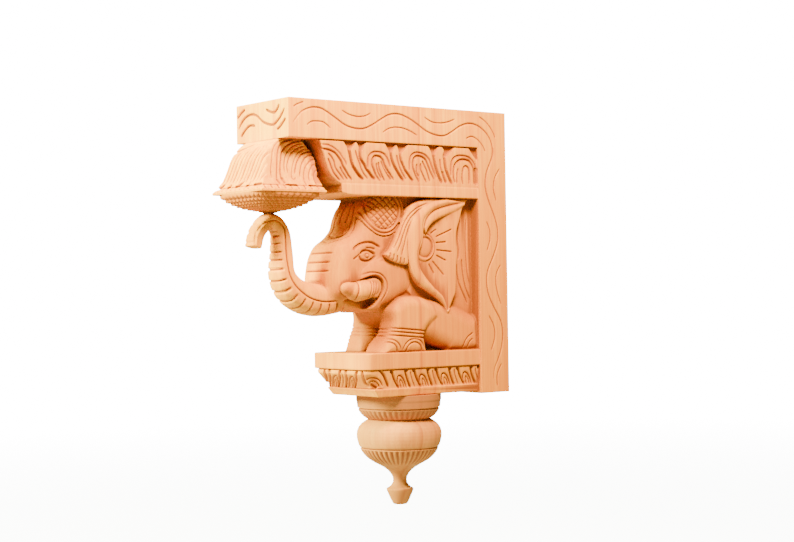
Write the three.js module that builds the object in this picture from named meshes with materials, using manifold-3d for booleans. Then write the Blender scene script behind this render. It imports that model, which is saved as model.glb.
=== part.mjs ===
// Carved elephant wall bracket: one carved timber block, and the turned pendant under it.
// Millimetres, +Z up. The origin is the centre of the post's back face, where it meets the
// wall. -Y leads away from the wall, and X = 0 is the middle of the plank.

import * as THREE from 'three';
import { mergeVertices } from 'three/addons/utils/BufferGeometryUtils.js';
import Module from 'manifold-3d';

const wasm = await Module();
wasm.setup();

// Plank, post and beam
const plankThickness = 104;
const postDepth = 44;
const beamHeight = 43;
const beamReach = 311;

// Frieze of hanging petals under the beam, and the rail that it ends on
const friezeHeight = 47.5;
const friezeReach = 272;
const friezeStep = 1.5;
const friezePetals = 4;
const railHeight = 12.5;
const railReach = 241;
const railStep = 0.8;
const railChamfer = 7;

// Platform under the elephant: slab, band of leaves and foot rail
const nicheHeight = 176;
const slabHeight = 18.5;
const slabStep = 2;
const platformReach = 210;
const leafBandHeight = 22;
const leafBandTopStep = 1.5;
const leafBandSideTaper = 4;
const leafBandFrontTaper = 15;
const sideLeaves = 5;
const frontLeaves = 3;
const footRailHeight = 9;
const postOverhang = 2.5;

// Lotus capital under the nose of the beam
const bellSetback = 10.5;
const bellTopHalf = 32;
const bellWaistHalf = 38;
const bellRimHalf = 51;
const bellTopDeep = 23.5;
const bellWaistDeep = 35;
const bellRimDeep = 43;
const bellTopBack = 3;
const bellLean = 5;
const webHalf = 22;
const bellHeight = 54.5;
const rimBandHeight = 3.4;
const domeDepth = 21;
const domeCells = 8;
const beadHeight = 1.3;

// Carved lines
const lineWidth = 2.6;
const lineDepth = 1.7;
const fineWidth = 1.8;
const fineDepth = 1.2;
const cutterLift = 0.5;

// Waving line round the side faces
const waveHalf = 57;
const waveHeight = 9.6;
const waveMargin = 5;
const firstCrestSetback = 35;
const waveDrop = 19.8;
const postWeave = 7.5;
const accentHalf = 13;
const accentBow = 4;
const accentCount = 4;
const noseArcHalf = 15.5;
const noseArcSetting = 22;
const noseRowPitch = 8;

// Elephant: half widths across the plank
const headHalf = 37;
const cheekHalf = 42;
const earHalf = 46;
const earRimHalf = 50;
const lockHalf = 46;
const medallionHalf = 39.5;
const panelHalf = 38;
const panelAlong = 0.3;
const haunchHalf = 47;
const legHalf = 50;
const legSlotHalf = 9;
const stride = 14.5;
const eyeRadius = 3.6;
const tuskRootRadius = 10;
const tuskTipRadius = 6.8;
const tuskSides = 8;
const trunkSides = 8;
const trunkWrinkle = 0.9;

// Turned pendant: radii, and the drop of each below the foot rail
const pendantGap = 0.3;
const ringRadius = 48.8;
const ringHeight = 7;
const cupRadius = 48;
const cupHeight = 16.5;
const neckRadius = 36.5;
const neckDrop = 28.5;
const ballRadius = 49.5;
const ballDrop = 46;
const ballBandDrop = 61.5;
const bandRadius = 46.6;
const stemRadius = 7.9;
const stemDrop = 99;
const discRadius = 15.8;
const discDrop = 109.5;
const discHeight = 2.2;
const tipRadius = 7.5;
const pendantLength = 128.2;
const fluteCount = 18;
const fluteDepth = 1.7;
const turnedGroove = 1.4;
const grooveHalfHeight = 1.4;
const ringStep = 1.2;
const fluteMargin = 8;

// Levels and reaches worked out from the sizes above
const postHeight = beamHeight + friezeHeight + railHeight + nicheHeight
  + slabHeight + leafBandHeight + footRailHeight + postOverhang;
const top = postHeight / 2;
const beamBottom = top - beamHeight;
const friezeBottom = beamBottom - friezeHeight;
const railBottom = friezeBottom - railHeight;
const slabTop = railBottom - nicheHeight;
const slabBottom = slabTop - slabHeight;
const leafBandBottom = slabBottom - leafBandHeight;
const footRailBottom = leafBandBottom - footRailHeight;
const plankHalf = plankThickness / 2;
const friezeHalf = plankHalf - friezeStep;
const railHalf = plankHalf - railStep;
const slabHalf = plankHalf - slabStep;
const bandTopHalf = slabHalf - leafBandTopStep;
const bandBottomHalf = bandTopHalf - leafBandSideTaper;
const bandTopReach = platformReach - leafBandTopStep;
const bandBottomReach = bandTopReach - leafBandFrontTaper;
const bellReach = beamReach - bellSetback;
const rimLevel = beamBottom - bellHeight;
const domeTop = rimLevel - rimBandHeight;
const domeBottom = domeTop - domeDepth;
const pendantReach = (postDepth + platformReach) / 2;
const bite = 1;

// The figure keeps its proportions as shares: along, from the post's face to the axis of the
// capital, and up, from the slab to the rail.
const figureLength = bellReach - postDepth;

function figure(along, up) {
  return new THREE.Vector2(-postDepth - along * figureLength, slabTop + up * nicheHeight);
}

// The hook of the trunk hangs from the lowest point of the capital.
function hook(forward, drop) {
  return new THREE.Vector2(-bellReach - forward, domeBottom - drop);
}

function closedCurve(points, count) {
  const flat = points.map((p) => new THREE.Vector3(p.x, p.y, 0));
  const curve = new THREE.CatmullRomCurve3(flat, true, 'centripetal');
  return curve.getPoints(count).slice(0, count).map((p) => new THREE.Vector2(p.x, p.y));
}

function openCurve(points, count) {
  return new THREE.SplineCurve(points).getPoints(count);
}

// Closed solids

function solid(geometry) {
  const bare = geometry.clone();
  bare.deleteAttribute('normal');
  bare.deleteAttribute('uv');
  const merged = mergeVertices(bare, 1e-4);
  const vertProperties = new Float32Array(merged.attributes.position.array);
  const triVerts = new Uint32Array(merged.index.array);
  return new wasm.Manifold(new wasm.Mesh({ numProp: 3, vertProperties, triVerts }));
}

function joined(solids) {
  return solids.reduce((whole, next) => whole.add(next));
}

function enclosedVolume(positions, index) {
  const a = new THREE.Vector3();
  const b = new THREE.Vector3();
  const c = new THREE.Vector3();
  let volume = 0;
  for (let i = 0; i < index.length; i += 3) {
    a.fromArray(positions, index[i] * 3);
    b.fromArray(positions, index[i + 1] * 3);
    c.fromArray(positions, index[i + 2] * 3);
    volume += a.dot(b.cross(c)) / 6;
  }
  return volume;
}

function middleOf(points) {
  return points.reduce((sum, point) => sum.add(point), points[0].clone().multiplyScalar(0))
    .divideScalar(points.length);
}

// A skin over a row of rings with equal counts of points, closed by a fan at both ends.
function loft(rings) {
  const count = rings[0].length;
  const positions = rings.flat().flatMap((point) => point.toArray());
  const index = [];
  for (let row = 0; row < rings.length - 1; row += 1) {
    for (let k = 0; k < count; k += 1) {
      const here = row * count + k;
      const beside = row * count + (k + 1) % count;
      index.push(here, beside, beside + count, here, beside + count, here + count);
    }
  }
  const lastRow = (rings.length - 1) * count;
  const ends = [rings[0], rings[rings.length - 1]].map((ring) => middleOf(ring));
  const first = positions.length / 3;
  positions.push(...ends[0].toArray(), ...ends[1].toArray());
  for (let k = 0; k < count; k += 1) {
    const beside = (k + 1) % count;
    index.push(first, beside, k, first + 1, lastRow + k, lastRow + beside);
  }
  if (enclosedVolume(positions, index) < 0) {
    index.reverse();
  }
  const geometry = new THREE.BufferGeometry();
  geometry.setAttribute('position', new THREE.Float32BufferAttribute(positions, 3));
  geometry.setIndex(index);
  return geometry;
}

function reflected(geometry) {
  const mirror = geometry.clone().applyMatrix4(new THREE.Matrix4().makeScale(-1, 1, 1));
  const flipped = mirror.index ?? new THREE.BufferAttribute(
    new Uint32Array(mirror.attributes.position.count).map((_, i) => i), 1);
  mirror.setIndex(Array.from(flipped.array).reverse());
  return mirror;
}

function bothSides(geometry) {
  return solid(geometry).add(solid(reflected(geometry)));
}

function block(halfX, nearReach, farReach, low, high) {
  const geometry = new THREE.BoxGeometry(halfX * 2, farReach - nearReach, high - low);
  geometry.translate(0, -(nearReach + farReach) / 2, (low + high) / 2);
  return geometry;
}

// An outline in the side view (Y, Z), cut straight through the plank from one X to another,
// with its edges broken by a small chamfer.
function slice(outline, fromX, toX, chamfer = 0) {
  const geometry = new THREE.ExtrudeGeometry(new THREE.Shape(outline), {
    depth: toX - fromX - chamfer * 2,
    bevelEnabled: chamfer > 0,
    bevelThickness: chamfer,
    bevelSize: chamfer,
    bevelOffset: -chamfer,
    bevelSegments: 1,
    steps: 1,
  });
  geometry.translate(0, 0, fromX + chamfer);
  geometry.applyMatrix4(new THREE.Matrix4().set(
    0, 0, 1, 0,
    1, 0, 0, 0,
    0, 1, 0, 0,
    0, 0, 0, 1));
  return geometry;
}

// A full form with the same kind of outline, rounded over at both faces: it draws in towards
// the middle of the outline by inset while it turns through rounding across the plank.
function pillow(outline, fromX, toX, inset, rounding, segments = 2) {
  const middle = middleOf(outline);
  const sections = [];
  for (let i = 0; i <= segments; i += 1) {
    const angle = Math.PI / 2 * i / segments;
    sections.push([rounding * (1 - Math.cos(angle)), inset * (1 - Math.sin(angle))]);
  }
  const near = sections.map(([depth, draw]) => [fromX + depth, draw]);
  const far = sections.map(([depth, draw]) => [toX - depth, draw]).reverse();
  const rings = [...near, ...far].map(([x, draw]) => outline.map((point) => {
    const arm = point.clone().sub(middle);
    const drawn = middle.clone().addScaledVector(arm, 1 - draw / arm.length());
    return new THREE.Vector3(x, drawn.x, drawn.y);
  }));
  return loft(rings);
}

// A V-shaped line cut along a path on a surface with the given outward directions.
function lineCutter(path, outward, width, depth) {
  const rings = path.map((point, i) => {
    const before = path[Math.max(i - 1, 0)];
    const after = path[Math.min(i + 1, path.length - 1)];
    const along = after.clone().sub(before).normalize();
    const across = new THREE.Vector3().crossVectors(along, outward[i]).setLength(width / 2);
    const rim = point.clone().addScaledVector(outward[i], cutterLift);
    const floor = point.clone().addScaledVector(outward[i], -depth);
    return [rim.clone().add(across), floor, rim.clone().sub(across)];
  });
  return loft(rings);
}

// The same line on both side faces, from side-view points (Y, Z) on the plane at faceX.
function sideLine(points, faceX, width = lineWidth, depth = lineDepth) {
  const path = points.map((p) => new THREE.Vector3(faceX, p.x, p.y));
  const outward = points.map(() => new THREE.Vector3(1, 0, 0));
  return bothSides(lineCutter(path, outward, width, depth));
}

// An upside-down U from one foot of a petal over its crown to the other foot. It gives pairs
// of places: across the petal, from -1 to 1, and down it, from 0 at the crown to 1.
function petalArch(steps, squareness, taper) {
  const places = [];
  for (let i = 0; i <= steps; i += 1) {
    const angle = Math.PI * i / steps;
    const down = 1 - Math.sin(angle) ** squareness;
    const across = -Math.sign(Math.cos(angle)) * Math.abs(Math.cos(angle)) ** squareness;
    places.push([across * (1 - taper * down), down]);
  }
  return places;
}

// Post and beam with the waving line round them

const waveMiddle = top - waveDrop;
const firstCrest = beamReach - firstCrestSetback;
const accentPlaces = [-1, -0.4, 0.4, 1];

function beamWave() {
  const steps = 15;
  const start = beamReach - waveMargin;
  const end = postDepth / 2;
  const points = [];
  for (let i = 0; i <= steps; i += 1) {
    const reach = THREE.MathUtils.lerp(start, end, i / steps);
    const crest = Math.cos(Math.PI * (reach - firstCrest) / waveHalf);
    points.push(new THREE.Vector2(-reach, waveMiddle + waveHeight * crest));
  }
  return points;
}

function postWave() {
  const steps = 15;
  const start = beamBottom + waveMargin;
  const end = -top + waveMargin;
  const weaves = Math.round((start - end) / (waveHalf * 0.72));
  const points = [];
  for (let i = 0; i <= steps; i += 1) {
    const swing = Math.sin(Math.PI * weaves * i / steps);
    const level = THREE.MathUtils.lerp(start, end, i / steps);
    points.push(new THREE.Vector2(-postDepth / 2 - postWeave * swing, level));
  }
  return points;
}

// Short arcs that sit in the hollows of the wave.
function waveLines() {
  const lines = [sideLine(beamWave(), plankHalf), sideLine(postWave(), plankHalf)];
  for (let k = 0; k < accentCount; k += 1) {
    const up = k % 2 === 0 ? 1 : -1;
    const accent = accentPlaces.map((t) => new THREE.Vector2(
      -firstCrest + waveHalf * k + t * accentHalf,
      waveMiddle - up * (waveHeight / 3 + accentBow * t * t)));
    lines.push(sideLine(accent, plankHalf, fineWidth, fineDepth));
  }
  return lines;
}

// Two groups of three short arcs on the nose of the beam, bowed opposite ways.
function noseLines() {
  const lines = [];
  const outward = new THREE.Vector3(0, -1, 0);
  for (const side of [-1, 1]) {
    for (let row = -1; row <= 1; row += 1) {
      const path = accentPlaces.map((t) => new THREE.Vector3(
        side * noseArcSetting + t * noseArcHalf,
        -beamReach,
        top - beamHeight / 2 + row * noseRowPitch - side * accentBow * (1 - 2 * t * t)));
      lines.push(solid(lineCutter(path, path.map(() => outward), fineWidth, fineDepth)));
    }
  }
  return lines;
}

// Frieze: its nose leans back to the rail, and the petals lean with it

const friezeNose = new THREE.SplineCurve([
  new THREE.Vector2(friezeReach, 0),
  new THREE.Vector2(friezeReach - (friezeReach - railReach) * 0.26, 0.32),
  new THREE.Vector2(friezeReach - (friezeReach - railReach) * 0.4, 0.62),
  new THREE.Vector2(friezeReach - (friezeReach - railReach) * 0.64, 0.86),
  new THREE.Vector2(railReach, 1),
]);

function friezePlace(along, down) {
  const reach = THREE.MathUtils.lerp(friezeNose.getPoint(down).x, postDepth, along);
  return new THREE.Vector2(-reach, beamBottom - down * friezeHeight);
}

function frieze() {
  const nose = friezeNose.getPoints(8).map((p) => new THREE.Vector2(-p.x, beamBottom - p.y * friezeHeight));
  nose[0].y += bite;
  nose[nose.length - 1].y -= bite;
  const heel = [
    new THREE.Vector2(-postDepth + bite, friezeBottom - bite),
    new THREE.Vector2(-postDepth + bite, beamBottom + bite),
  ];
  return slice([...nose, ...heel], -friezeHalf, friezeHalf);
}

function friezeLines() {
  const lines = [];
  const pitch = 1 / (friezePetals - 0.27);
  const petalHalf = pitch * 0.37;
  for (let k = 0; k < friezePetals; k += 1) {
    const centre = petalHalf + k * pitch;
    for (const [share, crown, width, depth, steps] of [[1, 0.03, lineWidth, lineDepth * 1.7, 6],
      [0.5, 0.3, fineWidth, fineDepth, 4]]) {
      const arch = petalArch(steps, 0.62, 0.35).map(([across, down]) => friezePlace(
        centre + across * share * petalHalf, THREE.MathUtils.lerp(crown, 0.97, down)));
      lines.push(sideLine(arch, friezeHalf, width, depth));
    }
  }
  return lines;
}

function rail() {
  const outline = [
    new THREE.Vector2(-railReach, friezeBottom),
    new THREE.Vector2(-railReach, railBottom + railChamfer / 2),
    new THREE.Vector2(-railReach + railChamfer, railBottom),
    new THREE.Vector2(-postDepth + bite, railBottom),
    new THREE.Vector2(-postDepth + bite, friezeBottom),
  ];
  return slice(outline, -railHalf, railHalf);
}

// Lotus capital

// It swells to its waist by the shoulder's height and flares from there to the rim.
const bellShoulder = 0.5;

function bellHalf(down, topHalf, waistHalf, rimHalf) {
  const swell = Math.sin(Math.min(down / bellShoulder, 1) * Math.PI / 2);
  const flare = Math.max((down - bellShoulder) / (1 - bellShoulder), 0) ** 2;
  return topHalf + (waistHalf - topHalf) * swell + (rimHalf - waistHalf) * flare;
}

function bellAcross(down) {
  return bellHalf(down, bellTopHalf, bellWaistHalf, bellRimHalf);
}

function bellDeep(down) {
  return bellHalf(down, bellTopDeep, bellWaistDeep, bellRimDeep);
}

function bellAxis(down) {
  return bellReach - bellTopBack + bellLean * down;
}

// A place on the front face (side 0) or on a side face (side 1 or -1) of the capital.
function bellPlace(along, down, side) {
  const x = side === 0 ? along * bellAcross(down) : side * bellAcross(down);
  const y = bellAxis(down) + bellDeep(down) * (side === 0 ? 1 : along);
  return new THREE.Vector3(x, -y, beamBottom - down * bellHeight);
}

function squareRing(halfX, deep, down, level) {
  const corners = [[-1, -1], [0, -1], [1, -1], [1, 0], [1, 1], [0, 1], [-1, 1], [-1, 0]];
  return corners.map(([x, y]) => new THREE.Vector3(x * halfX, y * deep - bellAxis(down), level));
}

function bell() {
  const rings = [squareRing(bellTopHalf, bellTopDeep, 0, beamBottom + bite)];
  const levels = 8;
  for (let i = 0; i <= levels; i += 1) {
    const down = i / levels;
    rings.push(squareRing(bellAcross(down), bellDeep(down), down, beamBottom - bellHeight * down));
  }
  rings.push(squareRing(bellRimHalf, bellRimDeep, 1, domeTop));
  rings.push(squareRing(bellRimHalf - bite * 2, bellRimDeep - bite * 2, 1, domeTop - bite));
  return loft(rings);
}

// The timber left standing between the capital and the nose of the frieze.
function web() {
  return block(webHalf, railReach - bite, bellReach, domeTop + bite, beamBottom + bite);
}

function bellLines() {
  const lines = [];
  for (const side of [0, 1, -1]) {
    const outward = side === 0 ? new THREE.Vector3(0, -1, 0) : new THREE.Vector3(side, 0, 0);
    for (const [share, crown, steps] of [[0.9, 0.1, 7], [0.48, 0.38, 5]]) {
      const path = petalArch(steps, 0.7, 0).map(([along, down]) => bellPlace(
        along * share, THREE.MathUtils.lerp(crown, 0.93, down), side));
      lines.push(solid(lineCutter(path, path.map(() => outward), lineWidth, lineDepth)));
    }
  }
  return lines;
}

// The cushion under the rim: a square grid of small beads, each a low pyramid.
function cushion() {
  const positions = [];
  const index = [];
  const row = domeCells + 1;
  const place = (u, v, lift) => {
    const ring = (Math.abs(u) ** 6 + Math.abs(v) ** 6) ** (1 / 6);
    const drop = domeDepth * Math.max(1 - Math.min(ring, 1) ** 2, 0) ** 0.7;
    return [u * (bellRimHalf - bite), v * (bellRimDeep - bite) - bellAxis(1), domeTop - drop - lift];
  };
  for (let j = 0; j <= domeCells; j += 1) {
    for (let i = 0; i <= domeCells; i += 1) {
      const u = i / domeCells * 2 - 1;
      const v = j / domeCells * 2 - 1;
      positions.push(...place(u, v, 0));
    }
  }
  for (let j = 0; j < domeCells; j += 1) {
    for (let i = 0; i < domeCells; i += 1) {
      const u = (i + 0.5) / domeCells * 2 - 1;
      const v = (j + 0.5) / domeCells * 2 - 1;
      const peak = positions.length / 3;
      positions.push(...place(u, v, beadHeight));
      const a = j * row + i;
      const cell = [a, a + row, a + row + 1, a + 1];
      cell.forEach((corner, k) => index.push(corner, cell[(k + 1) % 4], peak));
    }
  }
  const rim = [];
  for (let i = 0; i < domeCells; i += 1) rim.push(i);
  for (let j = 0; j < domeCells; j += 1) rim.push(j * row + domeCells);
  for (let i = domeCells; i > 0; i -= 1) rim.push(domeCells * row + i);
  for (let j = domeCells; j > 0; j -= 1) rim.push(j * row);
  const lid = positions.length / 3;
  rim.forEach((corner) => {
    positions.push(positions[corner * 3], positions[corner * 3 + 1], rimLevel - bite);
  });
  rim.forEach((corner, k) => {
    const next = (k + 1) % rim.length;
    index.push(corner, rim[next], lid + next, corner, lid + next, lid + k);
  });
  const crown = positions.length / 3;
  positions.push(0, -bellAxis(1), rimLevel - bite);
  rim.forEach((_, k) => index.push(lid + k, lid + (k + 1) % rim.length, crown));
  if (enclosedVolume(positions, index) < 0) {
    index.reverse();
  }
  const geometry = new THREE.BufferGeometry();
  geometry.setAttribute('position', new THREE.Float32BufferAttribute(positions, 3));
  geometry.setIndex(index);
  return geometry;
}

// Platform

function platformRing(halfX, reach, level) {
  return [
    new THREE.Vector3(-halfX, -postDepth + bite, level),
    new THREE.Vector3(-halfX, -reach, level),
    new THREE.Vector3(halfX, -reach, level),
    new THREE.Vector3(halfX, -postDepth + bite, level),
  ];
}

function platform() {
  const band = loft([
    platformRing(bandTopHalf, bandTopReach, slabBottom + bite),
    platformRing(bandTopHalf, bandTopReach, slabBottom),
    platformRing(bandBottomHalf, bandBottomReach, leafBandBottom),
    platformRing(bandBottomHalf, bandBottomReach, leafBandBottom - bite),
  ]);
  const footRail = loft([
    platformRing(bandBottomHalf + 1.5, bandBottomReach + 3, leafBandBottom),
    platformRing(bandBottomHalf, bandBottomReach - 4, footRailBottom),
  ]);
  return joined([
    solid(block(slabHalf, postDepth - bite, platformReach, slabBottom, slabTop)),
    solid(band),
    solid(footRail),
  ]);
}

function leafBandLines() {
  const lines = [];
  const place = (along, down, onFront) => {
    const halfX = THREE.MathUtils.lerp(bandTopHalf, bandBottomHalf, down);
    const reach = THREE.MathUtils.lerp(bandTopReach, bandBottomReach, down);
    const level = THREE.MathUtils.lerp(slabBottom, leafBandBottom, down);
    if (onFront) return new THREE.Vector3(THREE.MathUtils.lerp(-halfX, halfX, along), -reach, level);
    return new THREE.Vector3(halfX, -THREE.MathUtils.lerp(reach, postDepth, along), level);
  };
  const arches = [[0.9, 0.08, lineWidth, lineDepth * 1.3, 4]];
  for (const [count, onFront] of [[sideLeaves, false], [frontLeaves, true]]) {
    const pitch = 1 / count;
    const lean = Math.atan2(onFront ? leafBandFrontTaper : leafBandSideTaper, leafBandHeight);
    const outward = onFront
      ? new THREE.Vector3(0, -Math.cos(lean), -Math.sin(lean))
      : new THREE.Vector3(Math.cos(lean), 0, -Math.sin(lean));
    for (let k = 0; k < count; k += 1) {
      for (const [share, crown, width, depth, steps] of arches) {
        const path = petalArch(steps, 0.6, 0.2).map(([across, down]) => place(
          (k + 0.5) * pitch + across * share * pitch * 0.4, THREE.MathUtils.lerp(crown, 0.96, down), onFront));
        const cutter = lineCutter(path, path.map(() => outward), width, depth);
        lines.push(onFront ? solid(cutter) : bothSides(cutter));
      }
    }
  }
  return lines;
}

// Elephant: outlines in the side view as shares of the figure

const headOutline = closedCurve([
  figure(0.560, 1.0), figure(0.590, 0.930), figure(0.614, 0.858), figure(0.627, 0.800), figure(0.667, 0.744),
  figure(0.721, 0.693), figure(0.756, 0.619), figure(0.771, 0.545), figure(0.778, 0.460), figure(0.765, 0.360),
  figure(0.700, 0.300), figure(0.640, 0.278), figure(0.575, 0.262), figure(0.510, 0.290), figure(0.430, 0.345),
  figure(0.365, 0.400), figure(0.350, 0.600), figure(0.340, 0.850), figure(0.330, 1.005), figure(0.450, 1.03),
], 26);

const cheekOutline = closedCurve([
  figure(0.660, 0.440), figure(0.650, 0.345), figure(0.610, 0.275), figure(0.545, 0.268), figure(0.520, 0.306),
  figure(0.450, 0.343), figure(0.388, 0.397), figure(0.367, 0.468), figure(0.374, 0.570), figure(0.440, 0.640),
  figure(0.540, 0.600), figure(0.620, 0.530),
], 18);

const lockOutline = closedCurve([
  figure(0.290, 0.990), figure(0.394, 0.895), figure(0.441, 0.785), figure(0.482, 0.643), figure(0.510, 0.618),
  figure(0.472, 0.580), figure(0.410, 0.567), figure(0.380, 0.680), figure(0.330, 0.830), figure(0.250, 0.960),
], 24);

const earOutline = closedCurve([
  figure(0.062, 0.995), figure(0.160, 0.990), figure(0.273, 0.970), figure(0.361, 0.903), figure(0.402, 0.798),
  figure(0.410, 0.656), figure(0.405, 0.566), figure(0.378, 0.463), figure(0.312, 0.365), figure(0.243, 0.311),
  figure(0.186, 0.252), figure(0.156, 0.309), figure(0.124, 0.460), figure(0.121, 0.625), figure(0.100, 0.791),
  figure(0.063, 0.945),
], 26);

const earFoldPoints = [
  figure(0.075, 0.955), figure(0.147, 0.902), figure(0.241, 0.866), figure(0.311, 0.806), figure(0.318, 0.689),
  figure(0.331, 0.579), figure(0.310, 0.494), figure(0.242, 0.403), figure(0.195, 0.335), figure(0.186, 0.280),
];

const haunchOutline = closedCurve([
  figure(-0.02, 0.240), figure(0.070, 0.285), figure(0.150, 0.325), figure(0.240, 0.310), figure(0.300, 0.220),
  figure(0.285, 0.100), figure(0.190, 0.035), figure(0.140, -0.01), figure(0.060, -0.02), figure(-0.02, -0.01),
], 16);

const legOutline = closedCurve([
  figure(0.440, 0.352), figure(0.380, 0.358), figure(0.310, 0.350), figure(0.245, 0.300), figure(0.238, 0.220),
  figure(0.288, 0.155), figure(0.303, 0.095), figure(0.300, 0.030), figure(0.302, -0.012), figure(0.420, -0.014),
  figure(0.545, -0.012), figure(0.536, 0.060), figure(0.500, 0.130), figure(0.490, 0.200), figure(0.500, 0.280),
], 18);

function trunk() {
  const centres = [hook(24, 38.2), hook(19, 21.7), hook(4, 8.2), hook(-10.5, 19.5), hook(-13.8, 43),
    figure(0.942, 0.500), figure(0.889, 0.397), figure(0.784, 0.350), figure(0.620, 0.392)];
  const halfThickness = [6.8, 7.4, 8.4, 8.6, 12, 15, 17.5, 19, 17.5];
  const halfWidth = [10.5, 11, 11.5, 12, 13.5, 16, 19, 23, 27];
  const curve = new THREE.CatmullRomCurve3(centres.map((p) => new THREE.Vector3(0, p.x, p.y)));
  const between = (list, t) => {
    const place = t * (list.length - 1);
    const below = Math.min(Math.floor(place), list.length - 2);
    return THREE.MathUtils.lerp(list[below], list[below + 1], place - below);
  };
  const rings = [];
  const stations = 28;
  for (let i = 0; i <= stations; i += 1) {
    const t = i / stations;
    const centre = curve.getPoint(t);
    const along = curve.getTangent(t);
    const outer = new THREE.Vector3(0, -along.z, along.y);
    const ring = [];
    for (let k = 0; k < trunkSides; k += 1) {
      const angle = (k + 0.5) / trunkSides * Math.PI * 2;
      const squarish = (value) => Math.sign(value) * Math.abs(value) ** 0.7;
      const crease = i % 2 === 1 && Math.sin(angle) < -0.5 ? trunkWrinkle : 0;
      const across = squarish(Math.cos(angle)) * between(halfWidth, t);
      const out = squarish(Math.sin(angle)) * (between(halfThickness, t) - crease);
      ring.push(centre.clone().addScaledVector(outer, out).add(new THREE.Vector3(across, 0, 0)));
    }
    rings.push(ring);
  }
  return loft(rings);
}

function tusk() {
  const root = figure(0.530, 0.400);
  const tip = figure(0.748, 0.402);
  const start = new THREE.Vector3(cheekHalf - 5, root.x, root.y);
  const end = new THREE.Vector3(plankHalf - tuskTipRadius - 0.4, tip.x, tip.y);
  const along = end.clone().sub(start);
  const length = along.length();
  along.normalize();
  const upward = new THREE.Vector3(0, 0, 1);
  const across = new THREE.Vector3().crossVectors(along, upward).normalize();
  const rings = [];
  for (const [share, swell] of [[0, 1], [0.5, 1], [0.86, 1], [0.95, 0.8], [1, 0.42]]) {
    const radius = THREE.MathUtils.lerp(tuskRootRadius, tuskTipRadius, Math.min(share / 0.86, 1)) * swell;
    const ring = [];
    for (let k = 0; k < tuskSides; k += 1) {
      const angle = k / tuskSides * Math.PI * 2;
      ring.push(start.clone().addScaledVector(along, share * length)
        .addScaledVector(across, Math.cos(angle) * radius)
        .addScaledVector(upward, Math.sin(angle) * radius));
    }
    rings.push(ring);
  }
  return loft(rings);
}

function disc(centre, radius, halfX, sides = 16) {
  const circle = [];
  for (let k = 0; k < sides; k += 1) {
    const angle = k / sides * Math.PI * 2;
    circle.push(new THREE.Vector2(centre.x + Math.cos(angle) * radius, centre.y + Math.sin(angle) * radius));
  }
  return pillow(circle, -halfX, halfX, 1, 1, 1);
}

function arc(centre, radiusY, radiusZ, from, to, steps) {
  const points = [];
  for (let i = 0; i <= steps; i += 1) {
    const angle = THREE.MathUtils.degToRad(THREE.MathUtils.lerp(from, to, i / steps));
    points.push(new THREE.Vector2(centre.x + Math.cos(angle) * radiusY, centre.y + Math.sin(angle) * radiusZ));
  }
  return points;
}

const eyeCentre = figure(0.596, 0.628);
const medallionCentre = figure(0.515, 0.893);
const medallionRadius = 23;
const flowerCentre = figure(0.285, 0.690);

function elephant() {
  const panelReach = -figure(panelAlong, 0).x;
  const panel = block(panelHalf, postDepth - bite, panelReach, slabTop - bite, railBottom + bite);
  const rim = closedCurve([
    figure(0.062, 0.995), figure(0.273, 0.970), figure(0.361, 0.903), figure(0.402, 0.798), figure(0.410, 0.656),
    figure(0.405, 0.566), figure(0.378, 0.463), figure(0.312, 0.365), figure(0.243, 0.311), figure(0.186, 0.252),
    ...earFoldPoints.slice().reverse(),
  ], 28);
  const foreleg = pillow(legOutline, legSlotHalf, legHalf, 8, 10);
  const eye = new THREE.SphereGeometry(eyeRadius, 8, 6).translate(headHalf, eyeCentre.x, eyeCentre.y);
  return joined([
    solid(panel),
    solid(pillow(headOutline, -headHalf, headHalf, 22, 22, 3)),
    solid(pillow(cheekOutline, -cheekHalf, cheekHalf, 7, 8)),
    solid(pillow(haunchOutline, -haunchHalf, haunchHalf, 11, 13)),
    solid(slice(lockOutline, -lockHalf, lockHalf, 1)),
    solid(slice(earOutline, -earHalf, earHalf, 1)),
    solid(slice(rim, -earRimHalf, earRimHalf, 1.2)),
    solid(disc(medallionCentre, medallionRadius, medallionHalf)),
    solid(trunk()),
    solid(foreleg),
    solid(reflected(foreleg).translate(0, stride, 0)),
    bothSides(tusk()),
    bothSides(eye),
  ]);
}

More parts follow.
